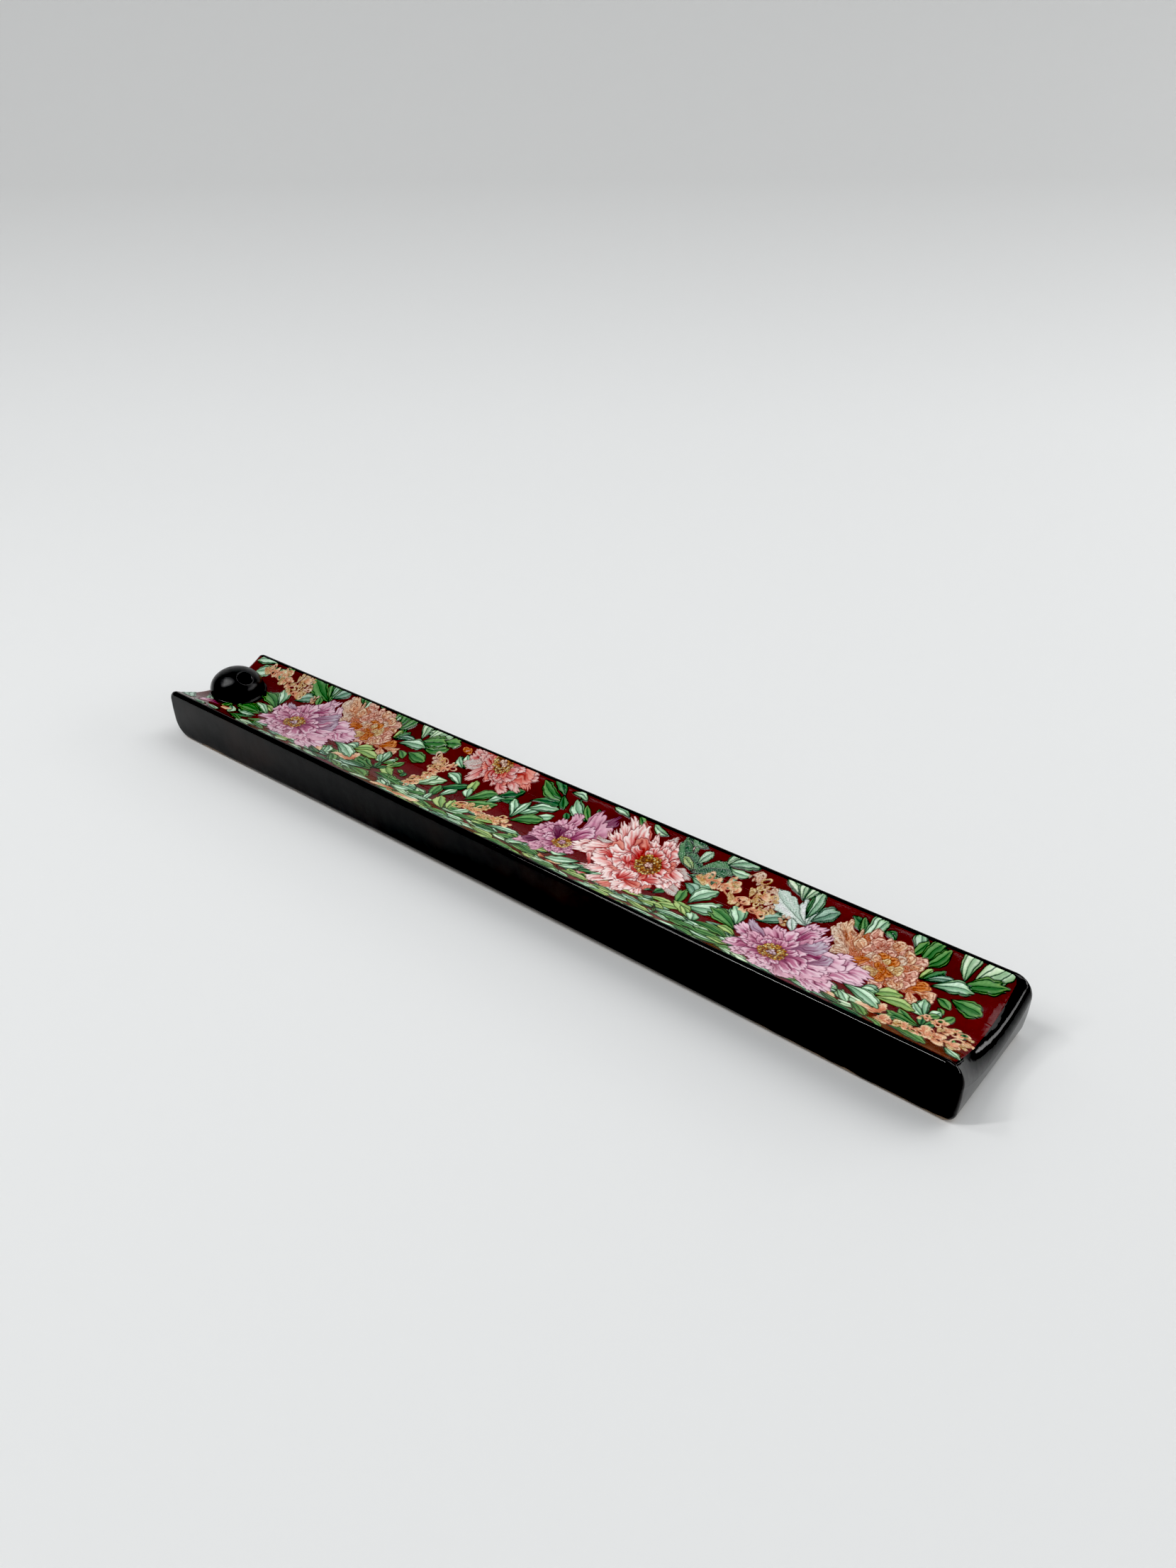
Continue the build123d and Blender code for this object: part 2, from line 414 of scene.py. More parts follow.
def petal_shade(look, part, q, depth, phase, turns, strokes):
    """Deep at the base and pale along the edge, with brush strokes, folds and a dark outline.

    Part runs from -1 to 1 across the fan and q from 0 at its base to 1 at its edge."""
    outline, deep, middle, pale, _ = PETALS[look]
    colour = blend_to(deep, middle, ease(0.12, 0.62, q + 0.18 * strokes))
    colour = blend_to(colour, pale, ease(0.52, 0.98, q + 0.17 * strokes))
    shaded = -part * math.copysign(1.0, math.cos(phase))
    colour = blend_to(colour, deep, 0.75 * ease(0.2, 1.0, shaded) * ease(1.0, 0.6, q))
    colour = blend_to(colour, deep, 0.70 * ease(0.1, 0.95, np.cos(turns)) * ease(1.0, 0.5, q))
    colour = blend_to(colour, outline, 0.72 * petal_crease(turns, q))
    shine = ease(0.86, 1.0, np.cos(turns + 1.3))
    colour = blend_to(colour, pale, 0.9 * shine * ease(0.25, 0.7, q))
    colour = blend_to(colour, pale, 0.6 * ease(0.6, 0.25, depth) * ease(0.45, 0.9, q))
    if look in RUFFLED:
        wave = depth + 0.22 * np.sin(part * 7.0 + phase) + 0.12 * np.sin(part * 15.0 - phase)
        for level in RUFFLE_LINES:
            colour = blend_to(colour, pale, 0.7 * ease(0.30, 0.10, np.abs(wave - level + 0.26)))
            colour = blend_to(colour, outline, 0.75 * ease(0.17, 0.07, np.abs(wave - level)))
    return blend_to(colour, outline, 0.95 * ease(0.21, 0.09, depth))


def petal_crease(turns, q):
    """1 along the sharp bottom of each fold, 0 between them."""
    return ease(0.93, 1.0, np.cos(turns)) * ease(0.99, 0.72, q) * ease(0.0, 0.2, q)


def petal(look, base_x, base_y, tip_x, tip_y, spread, teeth, seed):
    """A fan of silk from its base to a toothed edge, spread degrees wide."""
    length = math.hypot(tip_x - base_x, tip_y - base_y)
    aim = math.atan2(tip_y - base_y, tip_x - base_x)
    half = math.radians(spread) / 2
    middle_x, middle_y = base_x + 0.52 * (tip_x - base_x), base_y + 0.52 * (tip_y - base_y)
    reached = length * max(0.58, math.sin(half)) + 0.8
    view = patch(middle_x, middle_y, reached, PETAL_SWAY * min(1.0, length / 6.0))
    if view is None:
        return
    window, x, y = view
    phase = seed * 1.7
    reach = np.hypot(x - base_x, y - base_y)
    turn = (np.arctan2(y - base_y, x - base_x) - aim + math.pi) % (2.0 * math.pi) - math.pi
    turn = turn + 0.12 * np.sin(reach / length * 3.4 + phase)
    part = turn / half
    lobes = np.abs(np.sin(part * teeth * 0.8 + phase)) ** 0.55
    small = np.abs(np.sin(part * teeth * 2.6 + 2.0 * phase)) ** 0.7
    rounded = np.clip(1.0 - np.abs(part) ** 2.6, 0.0, 1.0) ** 0.36
    fringe = RUFFLED_FRINGE if look in RUFFLED else SILK_FRINGE
    limit = length * rounded * (0.84 + 0.085 * lobes + fringe * small)
    depth = inside(np.minimum(limit - reach, (1.0 - np.abs(part)) * half * reach * 1.4 + 0.15))
    q = np.clip(reach / np.maximum(limit, 0.2), 0.0, 1.0)
    strokes = 0.5 * np.sin(part * 11.0 + phase + 1.5 * np.sin(q * 5.0))
    strokes = strokes + 0.5 * np.sin(part * 23.0 - 2.0 * phase)
    turns = part * (4.6 + teeth * 0.4) + 1.3 * np.sin(q * 4.0 + phase)
    colour = petal_shade(look, part, q, depth, phase, turns, strokes)
    height = BODY_RISE + DOME_RISE * ease(0.0, 1.0, depth) + STROKE_RISE * strokes * q
    height = height - CREASE_DEPTH * petal_crease(turns, q)
    lay(window, depth, colour, height * ease(0.0, 0.14, depth), PETALS[look][4])


def dot(colour, line, x, y, radius, height=0.2, sandy=0.3):
    """A round bead of enamel with a thin outline."""
    view = patch(x, y, radius * 1.6)
    if view is None:
        return
    window, across, along = view
    depth = radius - np.hypot(across - x, along - y)
    shade = blend_to(colour, line, 0.85 * ease(0.14, 0.02, depth))
    lay(window, depth, shade, height * ease(0.0, radius, depth) + 0.06, sandy)


STAMEN_GOLD = (rgb(216, 164, 66), rgb(238, 218, 142), rgb(190, 112, 34))
STAMEN_SHADE = rgb(104, 52, 30)
STAMEN_LINE = rgb(70, 30, 18)
SHADE_DOTS = 24
HEART_DOTS = 18


def stamens(x, y, wide, tall, ring_inner, count, seed, heart):
    """A crown of gold anthers about a pale heart."""
    draw = np.random.RandomState(seed)

    def place(turn, out):
        return x + wide * out * math.cos(turn), y + tall * out * math.sin(turn)

    for _ in range(SHADE_DOTS):
        turn = draw.uniform(0.0, 2.0 * math.pi)
        dot(STAMEN_SHADE, STAMEN_LINE, *place(turn, 0.62), 0.32 * wide, 0.1)
    for _ in range(count):
        turn = draw.uniform(0.0, 2.0 * math.pi)
        out = math.sqrt(draw.uniform(ring_inner ** 2, 1.0))
        gold = STAMEN_GOLD[draw.randint(3)]
        dot(gold, STAMEN_LINE, *place(turn, out), draw.uniform(0.2, 0.34))
    for _ in range(HEART_DOTS):
        turn, out = draw.uniform(0.0, 2.0 * math.pi), draw.uniform(0.0, 0.75) * ring_inner
        dot(heart, STAMEN_LINE, *place(turn, out), draw.uniform(0.3, 0.5), 0.12)


# share of the outer petals' reach, count, spread
WHORLS = ((0.82, 12, 62.0), (0.64, 10, 66.0), (0.47, 8, 74.0))
OUTER_START = 0.22
WHORL_START = 0.55
SHORTEST_WHORL = 1.35


def petal_from(look, x, y, turn, inner, outer, spread, teeth, seed):
    """A petal that points away from a centre, between two distances from it."""
    aim_x, aim_y = math.cos(turn), math.sin(turn)
    base = (x + inner * aim_x, y + inner * aim_y)
    petal(look, *base, x + outer * aim_x, y + outer * aim_y, spread, teeth, seed)


def peony(x, y, tips, looks, ring, seed, heart):
    """Outer petals to listed tips (x, y, spread, look), then shorter whorls and the stamens."""
    draw = np.random.RandomState(seed)
    turns = sorted((math.atan2(tip[1] - y, tip[0] - x), math.hypot(tip[0] - x, tip[1] - y)) for tip in tips)
    angles = [turn[0] for turn in turns]
    reaches = [turn[1] for turn in turns]
    for number, (tip_x, tip_y, spread, look) in enumerate(tips):
        base = (x + OUTER_START * (tip_x - x), y + OUTER_START * (tip_y - y))
        petal(look, *base, tip_x, tip_y, spread, 4.5, seed + number)
    for share, count, spread in WHORLS:
        for number in range(count):
            turn = -math.pi + (number + draw.uniform(-0.25, 0.25)) * 2.0 * math.pi / count
            reach = share * np.interp(turn, angles, reaches, period=2.0 * math.pi) * draw.uniform(0.86, 1.1)
            reach = max(reach, ring * SHORTEST_WHORL)
            look = looks[draw.randint(len(looks))]
            petal_from(look, x, y, turn, ring * WHORL_START, reach, spread, 4.0, seed + 31 * number)
    stamens(x, y, ring, ring * 0.95, 0.40, 130, seed, heart)


def ruffles(look_rings, x, y, seed):
    """Rings of short rounded petals, laid like scales from the outside in."""
    draw = np.random.RandomState(seed)
    for radius, count, length, looks in look_rings:
        for number in range(count):
            turn = 2.0 * math.pi * (number + draw.uniform(-0.3, 0.3)) / count
            out = radius * draw.uniform(0.88, 1.1)
            look = looks[draw.randint(len(looks))]
            spread = draw.uniform(80.0, 108.0)
            petal_from(look, x, y, turn, max(out - length, 0.0), out, spread, 3.4, seed + number)


CURL_SWAY = 0.35
CURL_SHARE = 0.34
GOLD_SHARE = 0.25
TWIG_STEP = 0.85


def loop(look, x, y, radius, squash, turn, band):
    """A flattened ring of enamel, one curl of a filigree twig."""
    _, deep, middle, pale, sandy = PETALS[look]
    view = patch(x, y, radius + band, CURL_SWAY)
    if view is None:
        return
    window, across, along = view
    u = (across - x) * math.cos(turn) + (along - y) * math.sin(turn)
    v = ((along - y) * math.cos(turn) - (across - x) * math.sin(turn)) / squash
    depth = inside(band / 2 - np.abs(np.hypot(u, v) - radius))
    colour = blend_to(middle, pale, ease(-0.6, 0.5, (u + v) / radius))
    colour = blend_to(colour, deep, 0.85 * ease(0.12, 0.03, depth))
    lay(window, depth, colour, 0.2 * ease(0.0, band / 2, depth) + 0.04, sandy)


def sprig(points, look, bud, seed):
    """A filigree twig along a path: curls on both sides with small ruffled buds between them."""
    draw = np.random.RandomState(seed)
    for (x0, y0), (x1, y1) in zip(points, points[1:]):
        length = math.hypot(x1 - x0, y1 - y0)
        aim = math.atan2(y1 - y0, x1 - x0)
        steps = max(2, int(length / TWIG_STEP))
        for step in range(steps):
            x = x0 + (x1 - x0) * step / steps
            y = y0 + (y1 - y0) * step / steps
            for side in (-1.0, 1.0):
                turn = aim + side * draw.uniform(0.2, 1.5)
                size = bud * draw.uniform(0.45, 0.85)
                kind = "gold" if draw.uniform() < GOLD_SHARE else look
                away = size * draw.uniform(0.5, 1.0)
                if draw.uniform() < CURL_SHARE:
                    place = (x + away * math.cos(turn), y + away * math.sin(turn))
                    loop(kind, *place, size, draw.uniform(0.45, 0.8), turn, draw.uniform(0.42, 0.62))
                else:
                    size = size * draw.uniform(1.7, 2.5)
                    petal_from(kind, x, y, turn, 0.0, size, 60.0, 2.4, step)


# ---------------------------------------------------------------- the print: design

def plain(x, y):
    """The flower group where it is drawn first, towards the plain end."""
    return x, y


DRAWN_AT = 216.5
REPEATED_AT = 65.0
REPEAT_SCALE = 1.07
REPEAT_LIFT = 1.7
REPEAT_TILT = 0.053


def second(x, y):
    """The same group where the pattern repeats, at the bead end: a little longer and turned."""
    there = REPEATED_AT + (x - DRAWN_AT) * REPEAT_SCALE
    return there, y + REPEAT_LIFT + REPEAT_TILT * (REPEATED_AT - there)


def leaves(place, rows):
    """Lays a table of leaves in its order."""
    for look, base_x, base_y, tip_x, tip_y, width, *rest in rows:
        leaf(look, *place(base_x, base_y), *place(tip_x, tip_y), width, *rest)


def petals(place, rows):
    """Lays a table of petals in its order."""
    for number, (look, base_x, base_y, tip_x, tip_y, spread, teeth) in enumerate(rows):
        petal(look, *place(base_x, base_y), *place(tip_x, tip_y), spread, teeth, number)


def sprigs(place, rows, seed):
    """Lays a table of twigs in its order."""
    for number, (look, bud, points) in enumerate(rows):
        sprig([place(*point) for point in points], look, bud, seed + number)


# Painted reflection: the frost leaves and the high sandiness of the leaves by the far rim paint the glitter
# of light off the far wall.
# look, base x, base y, tip x, tip y, width, and as far as needed: bend, notch, stripes, sandiness
GROUP_BACK_LEAVES = [
    ("dark", 161, 23.5, 154.5, 30.5, 3.4, 0.1, 0.0, 0, 0.8),
    ("dark", 163, 24.5, 156.5, 27.2, 3.0, 0.0, 0.0, 0, 1.0),
    ("olive", 161, 24, 156.4, 26.4, 2.0, 0.0, 0.0, 0, 1.0),
    ("mint", 160.2, 25.5, 162.4, 29.6, 2.4, 0.05, 0.0, 0, 0.8),
    ("dark", 160.5, 23.2, 169.6, 27.6, 4.2, 0.1, 0.12, 0, 1.0),
    ("dark", 160, 22.6, 168.4, 24.4, 3.2, -0.05, 0.0, 0, 1.0),
    ("mint", 161.2, 22.6, 167.4, 22.0, 3.4, -0.12, 0.0, 0, 0.3),
    ("pale", 169.2, 32.0, 166.6, 28.4, 2.8, 0.0, 0.0, 1, 0.5),
    ("mint", 166.8, 28.1, 174.6, 31.2, 3.4, 0.08, 0.2, 1, 0.2),
    ("mint", 167.2, 28.2, 173.4, 28.0, 2.2, -0.1, 0.0, 0, 0.2),
    ("grey", 173.2, 23.6, 169.0, 26.0, 2.9, 0.12, 0.0, 0, 0.5),
    ("pale", 186.6, 27.4, 180.3, 31.6, 2.9, -0.06, 0.0, 1, 0.3),
    ("pale", 186.2, 27.2, 184.6, 32.2, 2.6, 0.05, 0.0, 1, 0.3),
    ("pale", 186.3, 27.4, 188.0, 32.0, 2.4, 0.0, 0.0, 1, 0.3),
    ("frost", 190.4, 22.8, 179.8, 27.6, 5.0, 0.06, 0.1, 0, 1.0),
    ("frost", 190.2, 22.6, 186.6, 28.0, 3.6, -0.05, 0.0, 0, 1.0),
    ("frost", 190.0, 22.4, 189.6, 29.2, 3.0, 0.04, 0.0, 0, 1.0),
    ("mint", 189.0, 24.0, 189.6, 31.2, 3.4, 0.02, 0.0, 1, 0.4),
    ("grey", 190.0, 24.0, 194.8, 28.6, 3.6, 0.06, 0.0, 1, 0.4),
    ("dark", 188.9, 24.4, 187.9, 29.6, 1.2, 0.05, 0.0, 0, 0.3),
    ("grey", 180.4, 18.4, 185.2, 22.2, 3.6, 0.08, 0.15, 1, 0.3),
    ("frost", 188.6, 19.8, 186.2, 23.0, 2.2, 0.0, 0.0, 0, 0.9),
    ("dark", 203.2, 24.0, 197.3, 28.8, 2.6, -0.12, 0.0, 0, 0.2),
    ("mid", 201.2, 24.4, 199.6, 29.6, 2.2, -0.05, 0.0, 1, 0.2),
    ("mint", 201.0, 24.4, 202.8, 31.6, 3.9, -0.12, 0.0, 1, 0.1),
    ("mint", 202.4, 26.6, 204.6, 31.0, 2.6, 0.0, 0.14, 0, 0.1),
    ("dark", 208.0, 27.0, 204.9, 28.6, 2.0, -0.2),
    ("mint", 212.6, 26.8, 211.2, 31.2, 3.3, -0.1, 0.0, 1, 0.1), ("mid", 212.0, 25.6, 213.5, 30.2, 2.2),
    ("mid", 214.4, 24.8, 216.9, 31.2, 3.6, 0.1), ("mid", 214.9, 24.8, 218.7, 30.0, 3.2, -0.05),
    ("olive", 215.6, 22.0, 216.9, 25.2, 2.3, -0.1), ("dark", 216.0, 22.0, 219.5, 25.9, 2.5, -0.08),
    ("grey", 216.6, 21.8, 222.3, 24.7, 1.9, 0.12, 0.0, 1, 0.3),
    ("pale", 223.4, 25.2, 223.6, 32.6, 4.0, 0.10, 0.0, 1),
    ("pale", 224.6, 25.6, 230.4, 33.0, 5.6, -0.04, 0.0, 2),
    ("mid", 222.7, 23.6, 231.5, 27.6, 3.9, 0.06, 0.16), ("mid", 223.2, 20.6, 229.7, 20.0, 4.3, 0.02),
    ("mint", 218.2, 21.3, 226.3, 23.9, 3.5, 0.1, 0.14, 1), ("mid", 220.6, 19.7, 224.1, 18.0, 2.3, 0.1),
    ("mid", 222.0, 17.6, 223.6, 16.2, 1.5),
]

GROUP_LOW_LEAVES = [
    ("grey", 160.8, 20.0, 165.6, 18.2, 3.0, 0.12, 0.0, 0, 0.2),
    ("mid", 164.6, 12.2, 162.9, 18.8, 2.6, 0.1, 0.16),
    ("mint", 165.6, 14.4, 169.3, 21.5, 4.2, 0.16, 0.0, 1, 0.2),
    ("mint", 165.2, 13.6, 173.6, 18.0, 4.9, -0.08, 0.16, 1, 0.1),
    ("mint", 178.3, 13.8, 172.2, 17.6, 2.2, -0.22), ("mid", 178.8, 12.9, 170.2, 16.4, 4.4, -0.06, 0.2),
    ("mint", 178.0, 14.4, 174.3, 19.9, 4.2, -0.12, 0.0, 1), ("olive", 160.0, 8.4, 166.2, 11.6, 2.6, 0.1),
    ("olive", 169.2, 8.9, 162.9, 13.4, 3.2, -0.16), ("olive", 169.6, 8.8, 165.2, 13.0, 2.0, -0.1),
    ("mint", 170.4, 8.7, 168.4, 12.4, 2.9, -0.1), ("grey", 179.8, 9.6, 172.4, 11.4, 2.2, -0.12),
    ("olive", 180.3, 10.4, 175.0, 11.9, 2.3, -0.14), ("mid", 169.0, 8.6, 179.6, 8.9, 2.9, 0.12, 0.0, 2),
    ("mint", 180.0, 5.0, 172.6, 5.2, 2.2, 0.1, 0.0, 1), ("mid", 169.6, 6.6, 178.6, 7.6, 3.4, -0.08),
    ("mid", 166.2, 5.0, 173.8, 6.2, 2.4, 0.06, 0.0, 1), ("olive", 157.0, 7.2, 163.6, 8.8, 2.2, 0.1),
    ("mint", 160.6, 6.4, 170.4, 8.0, 2.6, 0.08, 0.0, 1), ("mint", 162.6, 4.4, 168.2, 4.0, 2.2, 0.1, 0.0, 1),
    ("dark", 160.4, 9.2, 163.6, 4.6, 0.9, 0.05), ("olive", 156.0, 5.6, 163.4, 4.0, 3.0, -0.06, 0.0, 1),
    ("mid", 168.0, 3.0, 176.0, 1.8, 2.6, 0.05, 0.0, 1),
    ("mint", 158.0, 1.6, 166.0, 2.0, 2.4, -0.04, 0.0, 1), ("mid", 180.0, 2.2, 184.0, 5.0, 2.6, 0.1),
]

GROUP_FRONT_LEAVES = [
    ("mint", 221.4, 12.8, 219.0, 18.0, 3.2, 0.04), ("mint", 221.4, 12.9, 217.9, 15.8, 2.4, 0.1),
    ("mint", 221.5, 12.9, 223.0, 16.8, 2.4, -0.08), ("mid", 221.6, 12.8, 223.5, 15.5, 1.9, 0.05),
    ("mid", 223.7, 13.2, 225.7, 17.0, 2.2, -0.05), ("olive", 210.4, 12.6, 215.4, 16.2, 3.3, 0.16),
    ("olive", 210.8, 12.2, 219.2, 13.6, 3.2, 0.1), ("grey", 207.6, 13.2, 211.2, 14.6, 2.6, 0.1),
    ("mint", 207.0, 12.0, 211.2, 14.0, 2.6, 0.05), ("mid", 222.0, 9.6, 216.4, 12.2, 2.2, 0.08),
    ("mid", 222.2, 9.4, 214.9, 10.0, 3.1, 0.08), ("dark", 222.2, 9.5, 221.0, 13.2, 1.9, 0.05),
    ("dark", 222.3, 9.5, 223.8, 13.0, 2.1), ("dark", 214.0, 6.6, 220.4, 8.4, 2.2, 0.1),
    ("mint", 204.3, 12.0, 213.9, 8.9, 4.3, 0.1, 0.14, 1), ("mint", 205.6, 10.4, 208.6, 6.3, 3.0, -0.16),
    ("mint", 204.6, 9.6, 208.4, 5.6, 2.5, 0.1), ("mid", 208.6, 6.8, 213.6, 3.0, 3.4, 0.1),
    ("dark", 203.0, 5.6, 208.4, 3.6, 2.8, -0.1, 0.0, 1), ("mid", 217.6, 4.4, 225.8, 3.4, 4.4, 0.12),
    ("mint", 228.0, 6.6, 232.2, 4.4, 2.8, -0.1, 0.0, 1), ("dark", 206.0, 2.2, 214.0, 1.6, 2.4, 0.0, 0.0, 1),
    ("mid", 213.0, 3.4, 218.0, 1.4, 2.2, 0.1), ("dark", 228.4, 14.0, 229.8, 11.6, 1.8, 0.2),
    ("mid", 226.2, 13.4, 228.8, 12.6, 1.6, 0.2), ("mid", 229.6, 8.4, 228.2, 10.4, 1.5, 0.1),
]

# look, base x, base y, tip x, tip y, spread in degrees, teeth
ORANGE_PETALS = [
    ("sand", 201.0, 20.5, 194.6, 26.4, 62, 5), ("sand", 201.0, 20.0, 197.0, 21.6, 70, 4),
    ("peach", 201.6, 22.0, 196.6, 28.0, 34, 4), ("peach", 202.2, 22.0, 199.2, 27.2, 30, 3),
    ("blush", 204.6, 24.2, 203.4, 28.8, 62, 2), ("peach", 204.0, 22.8, 200.8, 25.6, 70, 3),
    ("blush", 211.6, 23.6, 210.6, 28.2, 64, 2), ("blush", 211.2, 23.2, 214.9, 27.0, 58, 3),
    ("blush", 205.6, 23.2, 208.6, 27.8, 66, 2), ("blush", 204.6, 24.0, 209.6, 25.2, 40, 3),
    ("peach", 212.8, 23.2, 215.6, 24.8, 70, 3), ("peach", 216.4, 18.4, 221.2, 19.2, 62, 4),
    ("peach", 216.2, 18.0, 217.2, 14.6, 84, 4), ("brick", 215.4, 17.6, 218.4, 21.6, 62, 3),
    ("blush", 211.8, 21.6, 216.4, 20.2, 76, 3), ("blush", 212.0, 21.6, 215.2, 17.6, 46, 2),
    ("peach", 211.6, 22.4, 212.6, 19.0, 60, 4), ("peach", 210.0, 19.6, 208.6, 15.6, 80, 4),
    ("peach", 211.4, 19.6, 212.8, 16.8, 66, 4), ("brick", 206.0, 21.2, 201.2, 19.4, 76, 5),
    ("gold", 208.2, 19.6, 205.4, 17.6, 90, 7), ("brick", 208.6, 19.4, 210.2, 16.8, 92, 6),
]
ORANGE_OUTER = 18

# radius, count, petal length, looks
ORANGE_RINGS = [
    (7.0, 9, 3.6, ("blush", "peach", "blush")),
    (5.2, 8, 3.3, ("peach", "blush", "sand")),
    (3.7, 6, 2.9, ("peach", "gold", "brick")),
    (2.2, 4, 2.0, ("gold", "brick")),
]

# x, y, spread in degrees, look
PURPLE_TIPS = [
    (196.4, 3.0, 50, "purple"), (190.0, 1.6, 58, "purple"), (204.4, 3.2, 36, "purple"),
    (205.2, 8.0, 46, "purple"), (183.0, 3.6, 62, "purple"), (207.8, 13.6, 42, "purple"),
    (208.6, 17.4, 34, "purple"), (203.6, 19.9, 46, "purple"), (197.4, 22.2, 34, "purple"),
    (193.4, 24.6, 40, "purple"), (189.6, 23.4, 36, "purple"), (186.0, 20.2, 50, "purple"),
    (180.2, 18.8, 30, "lilac"), (177.8, 15.0, 44, "purple"), (179.8, 11.4, 40, "purple"),
    (178.6, 7.4, 40, "purple"), (199.2, 17.6, 44, "lilac"), (195.0, 19.6, 34, "purple"),
]

LILAC_PETALS = [
    ("lilac", 190.4, 14.8, 197.2, 20.6, 46, 5), ("lilac", 195.6, 12.6, 200.0, 17.6, 40, 4),
    ("purple", 189.8, 17.2, 193.6, 22.6, 44, 5),
]

GROUP_CORAL = [
    ("coral", 216.6, 7.2, 209.4, 8.0, 50, 4), ("coral", 215.6, 7.8, 210.6, 10.6, 56, 4),
    ("coral", 215.2, 8.0, 213.0, 12.0, 56, 4), ("coral", 201.0, 7.6, 206.4, 6.0, 40, 3),
]

# x, y, radius
ORANGE_HEART = [
    (204.0, 24.6, 3.0), (208.6, 24.6, 3.2), (212.2, 23.2, 3.0), (203.6, 21.4, 3.0), (207.6, 20.4, 3.4),
    (211.8, 19.8, 3.2), (214.8, 19.6, 2.4), (199.6, 23.4, 2.6),
]

ORANGE_CENTRE = (208.8, 21.2)
PURPLE_CENTRE = (188.8, 11.4)
PURPLE_RING = 3.1
PURPLE_LOOKS = ("purple", "purple", "purple", "mauve")
PURPLE_HEART = rgb(214, 188, 202)
GROUP_SEED = 200

# look, bud size, path
GROUP_TWIGS = [
    ("sand", 1.3, [(173, 28.6), (177, 27.4), (180, 25.6), (181.3, 22)]),
    ("coral", 1.6, [(162.2, 23.0), (167, 23.4), (171, 23.2), (174, 22), (176.6, 20.4)]),
    ("coral", 1.3, [(169.4, 26.2), (171.6, 24)]),
    ("coral", 1.5, [(175.6, 23.2), (178, 25.2)]),
    ("gold", 1.1, [(177.4, 23.6), (180.8, 20.6)]),
    ("coral", 1.2, [(177, 20.6), (181, 20.4)]),
    ("sand", 1.1, [(185.2, 20.0), (185.4, 23.0)]),
]

# the wide filigree twig in the corner by the plain end, which the repeat leaves out
PLAIN_END_TWIGS = [
    ("coral", 1.7, [(214.8, 4.8), (219, 6.6), (224, 7.8), (228, 8.2), (231.2, 9.0)]),
    ("coral", 1.1, [(220.4, 13), (226, 13.0), (229.8, 12.4), (231.2, 10)]),
    ("coral", 1.5, [(224.6, 8.4), (226.8, 12.6)]),
]

SHOWS_BESIDE_BEAD = 177.0
SHOWS_ABOVE_BEAD = 170.0
ABOVE_BEAD = 22.0


def clear_of_bead(rows):
    """The leaves that still show in the repeat, where the bead and bare maroon take the others' place."""
    return [
        row for row in rows
        if max(row[1], row[3]) > SHOWS_BESIDE_BEAD
        or row[2] > ABOVE_BEAD and max(row[1], row[3]) > SHOWS_ABOVE_BEAD
    ]


def flower_group(place, back_leaves, low_leaves, more_leaves=(), more_petals=()):
    """The group that the pattern repeats: two peonies, their leaves and their budding twigs.

    More leaves and petals, which aren't part of the repeat, lie behind the flowers."""
    leaves(place, back_leaves)
    leaves(place, low_leaves)
    leaves(plain, more_leaves)
    petals(plain, more_petals)
    petals(place, GROUP_CORAL)
    sprigs(place, GROUP_TWIGS, GROUP_SEED)
    peach_line, peach_deep = PETALS["peach"][:2]
    for heart_x, heart_y, radius in ORANGE_HEART:
        dot(peach_deep, peach_line, *place(heart_x, heart_y), radius, 0.08, 1.0)
    petals(place, ORANGE_PETALS[:ORANGE_OUTER])
    ruffles(ORANGE_RINGS, *place(*ORANGE_CENTRE), GROUP_SEED + 11)
    petals(place, ORANGE_PETALS[ORANGE_OUTER:])
    tips = [(*place(x, y), spread, look) for x, y, spread, look in PURPLE_TIPS]
    peony(*place(*PURPLE_CENTRE), tips, PURPLE_LOOKS, PURPLE_RING, GROUP_SEED + 7, PURPLE_HEART)
    petals(place, LILAC_PETALS)
    leaves(place, GROUP_FRONT_LEAVES)


